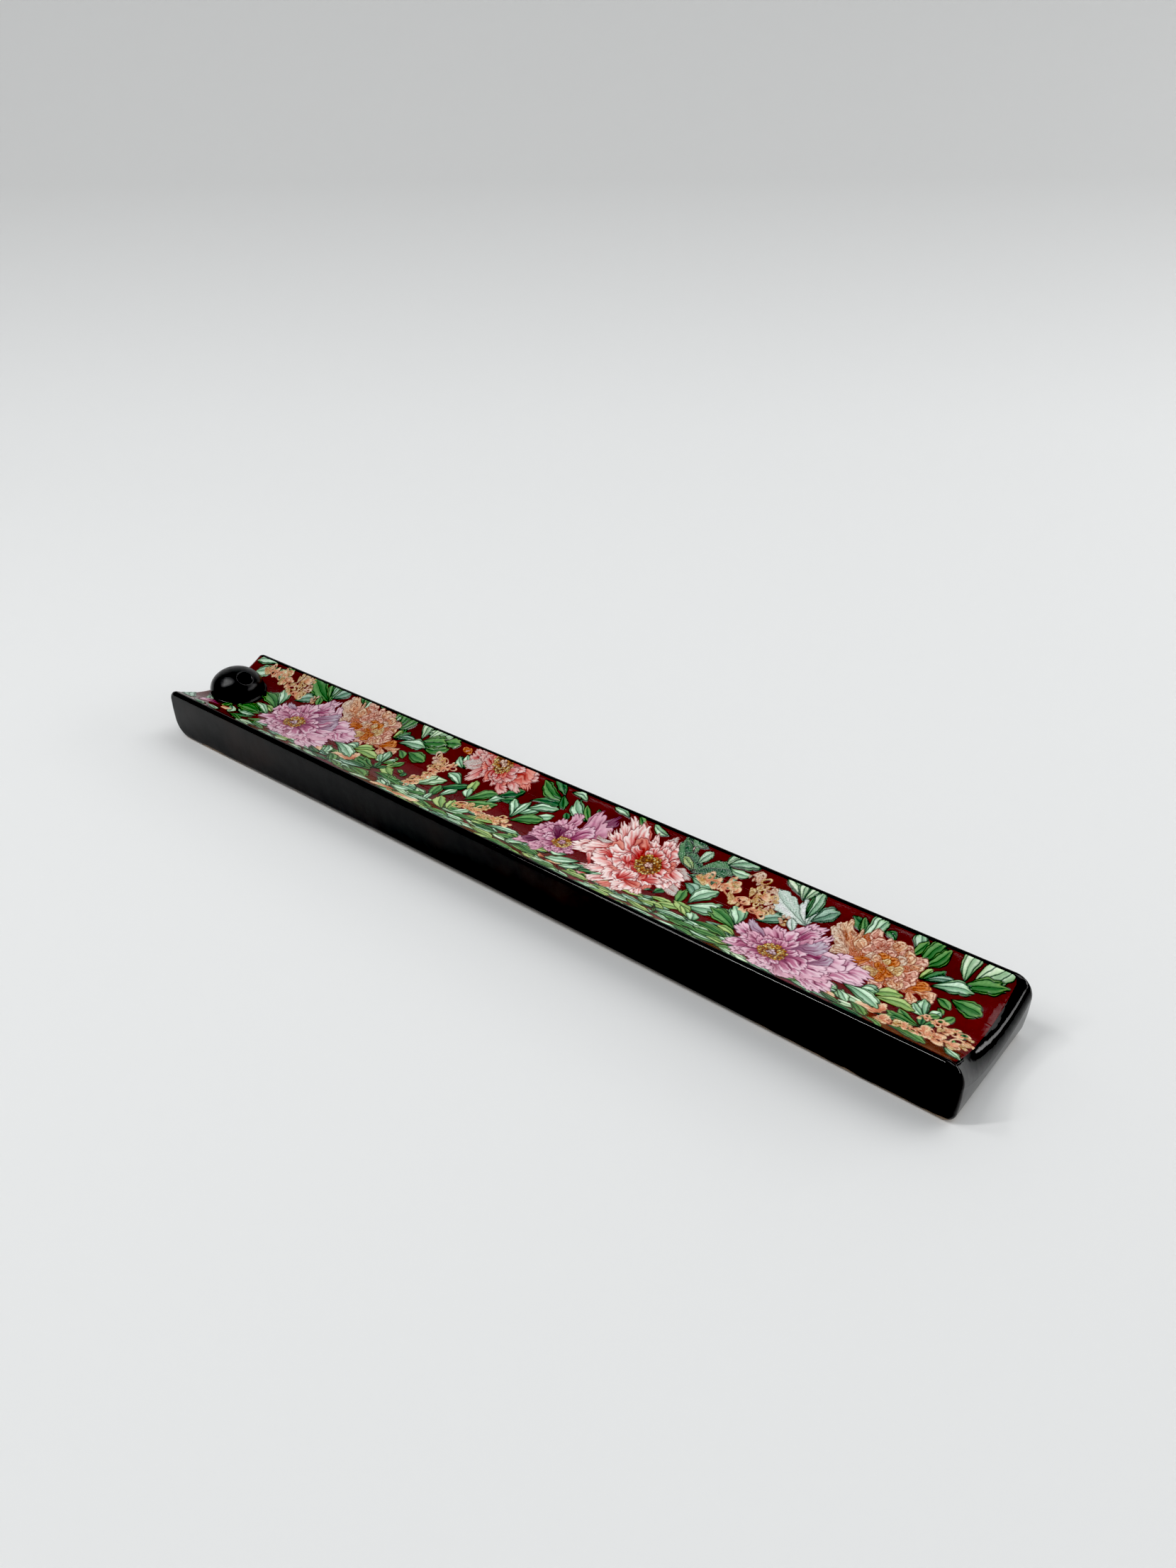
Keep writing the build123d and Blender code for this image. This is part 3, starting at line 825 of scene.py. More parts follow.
MIDDLE_BACK_LEAVES = [
    ("pale", 83.0, 10.6, 89.8, 18.6, 4.4, 0.1, 0.0, 1), ("pale", 84.0, 10.8, 86.4, 18.8, 3.6, 0.06, 0.0, 1),
    ("mint", 90.2, 24.0, 86.2, 26.8, 2.8, 0.1, 0.0, 1), ("mint", 90.4, 23.8, 88.0, 27.8, 2.2, -0.1),
    ("mint", 94.0, 18.6, 87.6, 21.2, 3.0, -0.1, 0.0, 1),
    ("dark", 89.6, 13.6, 96.8, 20.2, 2.9, 0.06, 0.0, 1), ("mid", 92.4, 10.0, 90.0, 16.4, 3.2, 0.06, 0.0, 1),
    ("mint", 93.2, 12.0, 94.6, 17.4, 2.6, 0.05, 0.0, 1), ("olive", 98.8, 17.6, 96.2, 22.6, 2.9, 0.1),
    ("mint", 99.4, 15.8, 96.8, 19.6, 2.6, 0.1), ("mid", 99.0, 14.6, 104.6, 21.8, 3.6, 0.08),
    ("mid", 99.6, 14.4, 107.2, 18.2, 4.2, -0.08, 0.14, 1),
    ("mint", 103.8, 17.0, 107.4, 21.6, 3.2, 0.1, 0.0, 1),
    ("dark", 104.6, 20.4, 110.2, 25.2, 3.4, 0.0, 0.0, 1), ("dark", 106.0, 19.6, 110.8, 21.8, 2.4),
    ("mint", 112.9, 16.0, 109.2, 22.0, 3.2, -0.08, 0.0, 1),
    ("mint", 113.0, 15.8, 113.8, 23.2, 2.6, 0.04, 0.0, 1),
    ("mint", 113.4, 17.8, 117.4, 24.2, 2.9, -0.04, 0.12, 1),
    ("mint", 114.0, 20.6, 121.6, 24.4, 3.0, 0.08, 0.0, 1), ("mint", 117.0, 19.4, 121.8, 22.2, 2.6, -0.1),
    ("mid", 113.6, 15.0, 120.4, 19.6, 4.2, 0.06, 0.0, 1), ("dark", 112.8, 23.0, 121.6, 25.6, 2.6, 0.1),
    ("mid", 121.0, 26.4, 112.6, 29.8, 3.4, 0.08, 0.0, 1), ("dark", 120.6, 27.2, 115.0, 31.4, 2.6, -0.1),
    ("dark", 119.4, 28.2, 122.6, 24.8, 2.8), ("mint", 121.2, 29.6, 126.6, 29.0, 1.9, 0.1),
    ("mint", 129.8, 24.2, 123.8, 28.4, 3.8, 0.12, 0.16), ("mid", 131.4, 23.8, 127.2, 28.2, 1.8, 0.06),
    ("dark", 132.0, 25.4, 130.4, 28.6, 1.6), ("dark", 125.6, 22.0, 123.6, 24.4, 2.0),
    ("mint", 139.4, 28.8, 133.7, 30.2, 1.9, -0.1), ("mint", 151.0, 29.2, 145.4, 30.0, 1.9, 0.1),
    ("mid", 140.4, 30.4, 143.6, 28.4, 2.0, 0.1), ("dark", 153.2, 31.6, 158.6, 26.8, 3.2, 0.1, 0.0, 0, 1.0),
    ("dark", 161.0, 29.8, 155.6, 31.8, 2.8, 0.1, 0.0, 0, 1.0),
]

MIDDLE_LOW_LEAVES = [
    ("olive", 99.8, 7.0, 93.8, 12.8, 3.4, 0.1), ("olive", 100.4, 7.6, 97.6, 13.4, 2.8),
    ("mint", 93.6, 6.4, 91.4, 12.0, 2.3, 0.1, 0.0, 1), ("mint", 101.2, 7.2, 103.6, 12.4, 2.6, -0.1),
    ("mid", 102.6, 6.0, 109.6, 9.6, 3.2, 0.06, 0.0, 1), ("olive", 104.4, 8.4, 112.4, 10.8, 2.5, 0.08),
    ("mint", 111.6, 8.6, 120.4, 11.2, 2.7, 0.08, 0.0, 1),
    ("dark", 108.8, 6.2, 115.4, 8.2, 2.3, 0.05, 0.0, 1), ("mid", 115.2, 5.8, 121.4, 9.2, 2.4, 0.05),
    ("olive", 131.8, 11.4, 125.4, 10.0, 2.4, 0.1), ("olive", 131.4, 10.0, 125.0, 7.2, 2.5, -0.1),
    ("mint", 134.4, 12.2, 130.2, 10.8, 2.3, 0.1), ("mint", 138.2, 12.2, 131.6, 7.0, 4.0, 0.06, 0.0, 1),
    ("mint", 140.0, 10.8, 136.6, 6.0, 2.9, 0.06, 0.0, 1),
    ("dark", 144.2, 12.2, 140.4, 8.0, 2.6, 0.0, 0.0, 1), ("grey", 157.4, 13.6, 153.4, 12.2, 2.0),
    ("dark", 157.8, 12.4, 158.8, 16.4, 2.2), ("mint", 156.2, 8.8, 161.4, 7.0, 2.9, 0.12),
    ("olive", 157.4, 10.4, 164.0, 11.6, 2.3, 0.1), ("grey", 156.4, 9.8, 159.4, 10.8, 1.6),
    ("olive", 144.6, 5.8, 138.8, 6.8, 2.4, 0.1), ("mint", 120.0, 9.4, 122.4, 5.2, 2.6, 0.0, 0.0, 1),
    ("mint", 124.4, 9.2, 120.6, 6.0, 2.2), ("mid", 122.0, 6.0, 131.0, 5.6, 3.4, 0.1, 0.0, 2),
    ("olive", 138.0, 4.2, 146.0, 5.2, 3.2, 0.06, 0.0, 1),
    ("olive", 154.4, 5.2, 147.0, 4.0, 3.0, 0.05, 0.0, 1), ("mid", 131.0, 2.2, 139.0, 3.2, 3.2, 0.0, 0.0, 1),
    ("mint", 144.0, 1.4, 151.0, 3.2, 2.6, 0.0, 0.0, 1),
    ("olive", 110.0, 4.6, 119.0, 3.8, 3.2, 0.06, 0.0, 1), ("mid", 96.0, 3.4, 104.0, 4.6, 3.2, 0.06, 0.0, 1),
    ("mint", 103.0, 2.0, 111.0, 2.2, 2.6, 0.05, 0.0, 1), ("mid", 118.0, 1.4, 127.0, 2.4, 3.0, 0.05, 0.0, 1),
    ("mint", 88.0, 5.6, 94.0, 7.6, 2.2, 0.05, 0.0, 1),
]

MIDDLE_CORAL = [
    ("coral", 84.0, 3.4, 94.2, 4.4, 30, 3), ("coral", 85.0, 5.0, 79.0, 3.6, 34, 3),
    ("brick", 86.6, 28.0, 88.8, 29.2, 90, 3), ("brick", 88.4, 29.2, 85.4, 28.4, 60, 3),
    ("coral", 131.6, 7.0, 129.2, 6.2, 80, 3), ("coral", 132.4, 6.0, 136.4, 7.2, 50, 3),
    ("rose", 143.2, 9.8, 140.8, 6.2, 40, 3),
]

RED_TIPS = [
    (88.4, 28.6, 46, "pink"), (89.6, 31.6, 40, "pink"), (92.2, 21.6, 44, "pink"),
    (88.6, 25.8, 40, "ash"), (97.8, 22.2, 46, "pink"), (101.8, 22.0, 40, "pink"),
    (105.6, 21.4, 42, "pink"), (108.8, 23.8, 40, "pink"), (111.4, 26.8, 34, "red"),
    (111.0, 30.2, 36, "pink"), (94.4, 24.2, 44, "pink"), (104.8, 25.0, 44, "red"),
]

MAUVE_TIPS = [
    (121.2, 12.6, 50, "mauve"), (120.0, 9.2, 34, "mauve"), (125.6, 7.9, 40, "mauve"),
    (120.0, 16.6, 50, "mauve"), (120.8, 19.8, 40, "mauve"), (124.4, 22.8, 50, "mauve"),
    (126.6, 25.4, 44, "mauve"), (130.6, 23.4, 40, "mauve"), (135.6, 21.2, 46, "mauve"),
    (132.4, 28.5, 22, "mauve"), (136.2, 28.9, 26, "plum"), (131.0, 25.4, 24, "mauve"),
    (134.6, 12.0, 46, "mauve"),
]

GREAT_TIPS = [
    (139.4, 29.8, 32, "rose"), (137.4, 26.6, 24, "rose"), (142.6, 28.9, 26, "red"),
    (145.2, 27.4, 24, "rose"), (148.2, 28.6, 28, "rose"), (152.4, 29.8, 34, "ash"),
    (156.6, 29.9, 40, "rose"), (157.6, 24.6, 38, "rose"), (161.6, 22.4, 36, "ash"),
    (162.2, 18.6, 30, "rose"), (162.8, 15.4, 32, "ash"), (135.4, 22.4, 30, "ash"),
    (136.0, 24.2, 24, "rose"), (131.4, 15.2, 34, "rose"), (133.6, 18.6, 30, "rose"),
    (138.6, 11.0, 30, "rose"), (141.4, 9.8, 26, "rose"), (156.0, 8.4, 40, "rose"),
    (143.4, 6.0, 26, "rose"), (147.8, 5.2, 30, "red"), (152.4, 5.6, 32, "rose"),
    (142.0, 22.8, 34, "ash"), (155.6, 11.6, 34, "red"),
]

MAUVE_FRONT = [("plum", 127.6, 15.6, 125.2, 20.6, 50, 4), ("plum", 125.4, 12.8, 121.2, 11.0, 60, 4)]

GREAT_FRONT = [
    ("rose", 143.6, 18.0, 137.2, 17.6, 40, 4), ("rose", 140.2, 11.4, 137.4, 17.0, 22, 6),
    ("rose", 147.2, 17.2, 144.2, 20.6, 60, 4), ("red", 149.4, 11.6, 154.6, 12.8, 60, 5),
    ("rose", 148.6, 11.8, 149.6, 17.2, 92, 8), ("rose", 153.2, 14.6, 157.4, 17.4, 62, 6),
    ("rose", 148.2, 21.8, 144.2, 23.6, 64, 5), ("rose", 150.4, 22.6, 152.2, 25.0, 104, 7),
    ("rose", 146.6, 19.2, 147.8, 16.2, 60, 4),
]

MIDDLE_LEFT_TWIGS = [
    ("coral", 1.4, [(83.0, 24.4), (83.4, 20.4), (84.0, 17.0), (83.2, 13.6), (83.0, 10.2)]),
    ("coral", 1.3, [(83.4, 20.8), (86.6, 22.6), (86.8, 24.2)]),
    ("sand", 1.3, [(83.4, 23.2), (80.4, 24.6)]),
    ("coral", 1.4, [(83.8, 15.6), (81.2, 14.8)]),
    ("gold", 1.2, [(83.2, 20.4), (81.0, 21.2)]),
]

MIDDLE_RIGHT_TWIGS = [
    ("coral", 1.5, [(99.4, 12.4), (104.4, 12.8), (109.4, 12.0), (115.4, 13.0)]),
    ("gold", 1.2, [(104.4, 12.8), (106.0, 16.0)]),
    ("coral", 1.3, [(110.4, 12.4), (113.0, 15.4)]),
    ("gold", 1.1, [(107.0, 12.4), (109.0, 9.8)]),
]

# x, y, tips, looks of the whorls, radius of the stamens, seed, heart
RED_PEONY = (99.2, 29.4, RED_TIPS, ("pink", "pink", "red"), 3.0, 50, rgb(222, 190, 170))
MAUVE_PEONY = (129.7, 15.6, MAUVE_TIPS, ("mauve", "mauve", "purple"), 2.3, 70, rgb(200, 150, 168))
GREAT_PEONY = (151.0, 20.3, GREAT_TIPS, ("rose", "rose", "rose", "red"), 3.3, 90, rgb(236, 204, 190))

# x, y, half width, half height, share of the heart, count, seed, heart
GREAT_STAMENS = (151.2, 20.2, 3.1, 3.0, 0.35, 90, 91, rgb(236, 196, 184))


def middle_group():
    """Three peonies between the two repeats, with twigs on each side of the first."""
    leaves(plain, MIDDLE_BACK_LEAVES)
    petals(plain, MIDDLE_CORAL)
    sprigs(plain, MIDDLE_LEFT_TWIGS, 41)
    leaves(plain, MIDDLE_LOW_LEAVES)
    peony(*RED_PEONY)
    sprigs(plain, MIDDLE_RIGHT_TWIGS, 46)
    peony(*MAUVE_PEONY)
    petals(plain, MAUVE_FRONT)
    peony(*GREAT_PEONY)
    petals(plain, GREAT_FRONT)
    stamens(*GREAT_STAMENS)


BEAD_END_LEAVES = [
    ("mint", 10.6, 30.4, 2.0, 29.2, 3.4, -0.08, 0.0, 1), ("mint", 11.2, 29.8, 5.0, 25.9, 4.6, 0.1, 0.0, 1),
    ("pale", 12.2, 29.4, 16.8, 26.6, 3.8, 0.08), ("mid", 12.4, 31.6, 17.6, 29.6, 2.2, 0.1),
    ("mint", 26.8, 12.0, 18.0, 16.0, 2.2, -0.08), ("mid", 24.2, 12.0, 15.0, 11.0, 4.8, -0.08, 0.0, 1),
    ("mint", 17.0, 11.4, 11.8, 13.4, 2.6, 0.05, 0.0, 1), ("mint", 25.4, 9.8, 19.6, 8.0, 2.8, 0.0, 0.0, 1),
    ("mid", 12.6, 11.2, 14.6, 6.8, 2.8, 0.05), ("mint", 4.6, 9.8, 9.6, 5.6, 2.4, 0.05),
    ("dark", 25.8, 8.6, 21.2, 5.2, 3.0, 0.1), ("mint", 14.2, 9.4, 20.2, 4.6, 2.5, 0.1),
    ("grey", 0.8, 8.0, 6.4, 2.4, 3.8, -0.1, 0.0, 1), ("mid", 20.0, 4.4, 28.0, 2.2, 2.9, 0.1, 0.0, 1),
    ("mint", 11.8, 4.0, 19.0, 2.0, 2.8, 0.05, 0.0, 1), ("dark", 7.0, 3.0, 14.0, 1.4, 2.6, 0.05),
    ("mid", 27.0, 5.8, 36.0, 3.6, 2.4, 0.06, 0.0, 1),
]

BEAD_END_PETALS = [
    ("purple", 13.4, 7.0, 6.4, 4.4, 44, 4), ("coral", 13.6, 7.4, 18.4, 5.6, 30, 3),
]

FIRST_GAP_LEAVES = [
    ("mid", 66.8, 26.0, 62.0, 30.6, 3.6), ("pale", 72.0, 28.4, 80.2, 30.6, 3.4, 0.06, 0.0, 1),
    ("pale", 72.6, 24.6, 79.4, 27.2, 3.4, 0.06, 0.0, 1), ("mid", 75.0, 24.6, 82.2, 27.4, 2.8, -0.06),
    ("mid", 78.6, 28.0, 84.4, 29.6, 3.0, 0.05), ("olive", 78.6, 10.6, 72.4, 14.4, 3.6, 0.1),
    ("mid", 72.6, 9.4, 83.2, 8.6, 3.6, 0.08, 0.0, 1), ("mint", 74.4, 8.4, 82.8, 5.2, 2.8, 0.06, 0.0, 2),
    ("mid", 71.2, 11.6, 62.4, 13.2, 3.4, 0.08, 0.0, 1), ("olive", 72.6, 12.0, 74.4, 18.0, 2.6, 0.06),
    ("grey", 70.0, 9.6, 61.6, 7.4, 3.2, 0.06, 0.0, 1), ("mint", 80.0, 9.6, 86.4, 10.8, 2.4, 0.1, 0.0, 1),
    ("mint", 82.0, 1.6, 90.0, 2.2, 2.4, 0.06, 0.0, 1), ("mid", 86.0, 7.4, 92.0, 9.6, 2.8, 0.08, 0.0, 1),
]

MAROON = rgb(74, 9, 12)
MAROON_LIT = rgb(96, 16, 19)
MAROON_SPECK = rgb(132, 52, 50)
SPECK_SHARE = 0.015
GROUND_SAND = 0.12


def lay_ground():
    """The maroon enamel under everything: cloudy, with a fine pale speckle."""
    cloud = 0.5 + 0.5 * soft_noise(6.0, 7)
    ink[:] = MAROON + (MAROON_LIT - MAROON) * cloud[..., None]
    speck = np.random.RandomState(7).uniform(0.0, 1.0, (ROWS, COLUMNS))
    ink[:] = blend_to(ink, MAROON_SPECK, 0.5 * (speck > 1.0 - SPECK_SHARE))
    grain[:] = GROUND_SAND


UNDERGROWTH_X = np.arange(28.0, 206.0, 4.3)
UNDERGROWTH_Y = (1.6, 4.2, 6.8, 9.4)
UNDERGROWTH_LOOKS = ("mid", "mint", "olive", "pale", "grey", "mint")
GAP_START, GAP_END, GAP_TOP = 70.0, 78.0, 8.0
LEFTWARD_SHARE = 0.4


def undergrowth():
    """Leaves that crowd the near side of the trough, behind everything else."""
    draw = np.random.RandomState(5)
    for x in UNDERGROWTH_X:
        for y in UNDERGROWTH_Y:
            look = UNDERGROWTH_LOOKS[draw.randint(6)]
            start_x, start_y = x + draw.uniform(-1.5, 1.5), y + draw.uniform(-0.9, 0.9)
            if GAP_START < x < GAP_END and y < GAP_TOP:
                continue
            turn = draw.uniform(-0.35, 0.35) + (math.pi if draw.uniform() < LEFTWARD_SHARE else 0.0)
            length = draw.uniform(6.0, 9.0)
            leaf(
                look, start_x, start_y,
                start_x + length * math.cos(turn), start_y + length * math.sin(turn),
                draw.uniform(2.2, 3.2), draw.uniform(-0.1, 0.1), 0.0, draw.randint(2),
            )


# painted shade at the bead end and painted light towards the plain end
SHADED_INK, LIT_INK = 0.97, 1.06
SHADE_END, LIT_START = 60.0, 100.0


def paint_light_falloff():
    """Painted shade and light: the print is a little darker at the bead end and a little brighter towards
    the plain end, standing in for the light falling off along the bar.
    """
    ink[:] = ink * (SHADED_INK + (LIT_INK - SHADED_INK) * ease(SHADE_END, LIT_START, grid_x))[:, None]


# colour of the grains' tops: partly pale enamel, partly painted highlight
SAND_PAINTED_HIGHLIGHT = 0.94
SAND_PITCH = 0.52
SAND_RISE = 0.05
SAND_DRIFT = 0.3


def strew_sand_with_painted_light():
    """Fine grains where the enamel is sandy, raised in relief: pale on top, partly the enamel's pale grain
    and partly a painted highlight, and dark between, which is painted shade.
    """
    x = grid_x + SAND_DRIFT * soft_noise(0.9, 11)
    y = grid_y[:, None] + SAND_DRIFT * soft_noise(0.9, 12)
    sand = np.cos(2.0 * math.pi * x / SAND_PITCH) * np.cos(2.0 * math.pi * y / SAND_PITCH)
    sand = sand + 0.35 * soft_noise(0.23, 13)
    cover = 0.7 * np.clip(grain, 0.0, 1.0)
    # painted highlight on the grains' tops, partly their own pale enamel
    ink[:] = blend_to(ink, np.full(3, SAND_PAINTED_HIGHLIGHT), cover * ease(0.1, 0.7, sand))
    # painted shade in the hollows between the grains
    ink[:] = blend_to(ink, ink * 0.5, cover * ease(-0.1, -0.8, sand))
    raised[:] += SAND_RISE * grain * sand


def draw_print():
    """The whole strip: the group repeats at the bead end, and the middle group joins the two."""
    lay_ground()
    undergrowth()
    leaves(plain, FIRST_GAP_LEAVES)
    # The bead-end repeat leaves out the painted glint: frost leaves become mid green and the back leaves
    # lose their sandiness.
    leaves_without_glint = [("mid" if row[0] == "frost" else row[0], *row[1:9]) for row in GROUP_BACK_LEAVES]
    back_leaves, low_leaves = clear_of_bead(leaves_without_glint), clear_of_bead(GROUP_LOW_LEAVES)
    flower_group(second, back_leaves, low_leaves, BEAD_END_LEAVES, BEAD_END_PETALS)
    middle_group()
    flower_group(plain, GROUP_BACK_LEAVES, GROUP_LOW_LEAVES)
    sprigs(plain, PLAIN_END_TWIGS, GROUP_SEED + 8)
    paint_light_falloff()
    strew_sand_with_painted_light()


draw_print()


# ---------------------------------------------------------------- the print: enamel bands

TROUGH_RADIUS = 27.0
TROUGH_FLOOR = 9.4
AXIS_HEIGHT = TROUGH_FLOOR + TROUGH_RADIUS
PRINT_START, PRINT_END = 0.9, 232.3
NEAR_EDGE, FAR_EDGE = -14.6, 14.55
BEAD_LIP_END, PLAIN_LIP_START = 2.6, 230.4
CORNER_RADIUS = 1.8
EDGE_FADE = 0.5
CORNER_FADE = 0.3
GLAZE_BLACK = rgb(14, 10, 10)
ENAMEL_BASE = 0.03
ENAMEL_SINK = 0.03
EDGE_SINK = 0.012

BAND_COUNT = 5
PITCH = 2 * FINE
NEAR_ANGLE, FAR_ANGLE = math.asin(NEAR_EDGE / TROUGH_RADIUS), math.asin(FAR_EDGE / TROUGH_RADIUS)
BAND_ANGLE = (FAR_ANGLE - NEAR_ANGLE) / BAND_COUNT
BAND_ROWS = int(round(BAND_ANGLE * TROUGH_RADIUS / PITCH)) + 1
BAND_COLUMNS = int(round((PRINT_END - PRINT_START) / PITCH)) + 1
UNDERSIDE_ROWS = 10
BAKE_ROWS = 5
BAKE_GAP = 0.02
UNSEEN_BAKE = 0.002


def to_linear(display):
    """Display colours as the linear values that Blender works in."""
    return np.where(display <= 0.04045, display / 12.92, ((display + 0.055) / 1.055) ** 2.4)


def sample(field, x, y):
    """Values of a print field at print places, the mean of the fine cells round each."""
    column = np.clip((x / FINE).astype(int), 1, COLUMNS - 1)
    row = np.clip((y / FINE).astype(int), 1, ROWS - 1)
    this_side = field[row, column] + field[row - 1, column]
    return (this_side + field[row, column - 1] + field[row - 1, column - 1]) / 4.0


def tray_surface():
    """The CAD tray as a tree that rays can be cast at."""
    mesh = tray.data
    points = [vertex.co.copy() for vertex in mesh.vertices]
    return BVHTree.FromPolygons(points, [list(polygon.vertices) for polygon in mesh.polygons])


tray_tree = tray_surface()


def trough_height(y):
    """Height of the trough's surface, in millimetres above the sole."""
    return AXIS_HEIGHT - np.sqrt(TROUGH_RADIUS ** 2 - y ** 2)


def surface_height(x, y):
    """Height of the tray under a print place, on the lips that turn down at both ends as well."""
    height = trough_height(y)
    for i, j in zip(*np.nonzero((x < BEAD_LIP_END) | (x > PLAIN_LIP_START))):
        start = Vector(((x[i, j] - PRINT_LENGTH / 2) * MM, y[i, j] * MM, 2.0 * AXIS_HEIGHT * MM))
        hit = tray_tree.ray_cast(start, Vector((0.0, 0.0, -1.0)))[0]
        if hit is not None:
            height[i, j] = min(height[i, j], hit.z / MM)
    return height


def band_grid(number, rows):
    """Print places on one band: x along the print, and y across it in even steps round the trough."""
    low = NEAR_ANGLE + number * BAND_ANGLE
    along = np.linspace(PRINT_START, PRINT_END, BAND_COLUMNS)
    x, turns = np.meshgrid(along, np.linspace(low, low + BAND_ANGLE, rows), indexing="ij")
    return x, TROUGH_RADIUS * np.sin(turns)


def band_top(number):
    """Points, colours and sandiness of the drawn side, whose rounded outline sinks into the glaze."""
    x, y = band_grid(number, BAND_ROWS)
    across = y + PRINT_WIDTH / 2
    from_end = np.minimum(x - PRINT_START, PRINT_END - x)
    from_rim = np.minimum(y - NEAR_EDGE, FAR_EDGE - y)
    corner_x, corner_y = CORNER_RADIUS - from_end, np.abs(y) - (FAR_EDGE - CORNER_RADIUS)
    outside = np.hypot(np.maximum(corner_x, 0.0), np.maximum(corner_y, 0.0)) - CORNER_RADIUS
    shown = ease(0.0, EDGE_FADE, np.minimum(from_end, from_rim))
    shown = np.minimum(shown, ease(0.0, -CORNER_FADE, outside))
    rise = (ENAMEL_BASE + sample(raised, x, across) + EDGE_SINK) * shown - EDGE_SINK
    lean = -y / TROUGH_RADIUS
    height = surface_height(x, y) + rise * np.sqrt(1.0 - lean ** 2)
    points = np.stack([x - PRINT_LENGTH / 2, y + rise * lean, height], axis=-1)
    colour = np.stack([sample(ink[..., k], x, across) for k in range(3)], axis=-1)
    colour = to_linear(blend_to(colour, GLAZE_BLACK, ease(-0.1, 0.1, outside)))
    return points.reshape(-1, 3), colour.reshape(-1, 3), sample(grain, x, across).ravel()


def band_underside(number):
    """Points just inside the tray, a coarser grid."""
    x, y = band_grid(number, UNDERSIDE_ROWS)
    return np.stack([x - PRINT_LENGTH / 2, y, surface_height(x, y) - ENAMEL_SINK], axis=-1).reshape(-1, 3)


def quads(rows, offset, flip):
    """Faces of a grid of points laid column by column."""
    column, row = np.meshgrid(np.arange(BAND_COLUMNS - 1), np.arange(rows - 1), indexing="ij")
    first = (offset + column * rows + row).ravel()
    faces = np.stack([first, first + rows, first + rows + 1, first + 1], axis=1)
    return faces[:, ::-1] if flip else faces


def band_faces():
    """Faces that close a band: drawn side, underside and long walls with four sides, and two caps."""
    base = BAND_COLUMNS * BAND_ROWS
    column = np.arange(BAND_COLUMNS)
    near, under_near = column * BAND_ROWS, base + column * UNDERSIDE_ROWS
    far, under_far = near + BAND_ROWS - 1, under_near + UNDERSIDE_ROWS - 1
    near_wall = np.stack([near[:-1], under_near[:-1], under_near[1:], near[1:]], axis=1)
    far_wall = np.stack([far[:-1], far[1:], under_far[1:], under_far[:-1]], axis=1)
    start_cap = [*range(BAND_ROWS), *range(base + UNDERSIDE_ROWS - 1, base - 1, -1)]
    end_cap = [*range(far[-1], near[-1] - 1, -1), *range(under_near[-1], under_far[-1] + 1)]
    top, underside = quads(BAND_ROWS, 0, False), quads(UNDERSIDE_ROWS, base, True)
    return np.concatenate([top, underside, near_wall, far_wall]), start_cap, end_cap


def bake_places(corner_count):
    """Texture places that lay the long band out as a few rows, one above another."""
    per_row = math.ceil((BAND_COLUMNS - 1) / BAKE_ROWS)
    column, row = np.meshgrid(np.arange(BAND_COLUMNS - 1), np.arange(BAND_ROWS - 1), indexing="ij")
    line = column // per_row
    places = np.zeros((column.size, 4, 2))
    for corner, (step, climb) in enumerate(((0, 0), (1, 0), (1, 1), (0, 1))):
        across = (column - line * per_row + step) / per_row
        up = (row + climb) / (BAND_ROWS - 1)
        places[:, corner, 0] = (BAKE_GAP + (1.0 - 2.0 * BAKE_GAP) * across).ravel()
        places[:, corner, 1] = ((line + BAKE_GAP * 2.0 + (1.0 - 4.0 * BAKE_GAP) * up) / BAKE_ROWS).ravel()
    rest = np.full((corner_count - column.size * 4, 2), UNSEEN_BAKE)
    return np.concatenate([places.reshape(-1, 2), rest])


def enamel_band(number):
    """One lengthwise band of the print: a closed sheet of enamel with its drawing in relief."""
    top, colour, sandy = band_top(number)
    points = np.concatenate([top, band_underside(number)]) * MM
    four_sided, start_cap, end_cap = band_faces()
    corners = np.concatenate([four_sided.ravel(), start_cap, end_cap]).astype(np.int32)
    cap_starts = [four_sided.size, four_sided.size + len(start_cap)]
    starts = np.concatenate([np.arange(len(four_sided)) * 4, cap_starts]).astype(np.int32)
    mesh = bpy.data.meshes.new(f"print_band_{number + 1}")
    mesh.vertices.add(len(points))
    mesh.vertices.foreach_set("co", points.ravel())
    mesh.loops.add(len(corners))
    mesh.loops.foreach_set("vertex_index", corners)
    mesh.polygons.add(len(starts))
    mesh.polygons.foreach_set("loop_start", starts)
    smooth = np.arange(len(starts)) < (BAND_COLUMNS - 1) * (BAND_ROWS + UNDERSIDE_ROWS - 2)
    mesh.polygons.foreach_set("use_smooth", smooth)
    mesh.update(calc_edges=True)
    shades = np.ones((len(points), 4))
    shades[:len(top), :3] = colour
    shades[len(top):, :3] = to_linear(GLAZE_BLACK)
    mesh.color_attributes.new("print", "FLOAT_COLOR", "POINT").data.foreach_set("color", shades.ravel())
    sands = np.zeros(len(points))
    sands[:len(top)] = sandy
    mesh.attributes.new("sand", "FLOAT", "POINT").data.foreach_set("value", sands)
    mesh.uv_layers.new(name="OFBake").data.foreach_set("uv", bake_places(len(corners)).ravel())
    return add_object(f"print_band_{number + 1}", mesh)


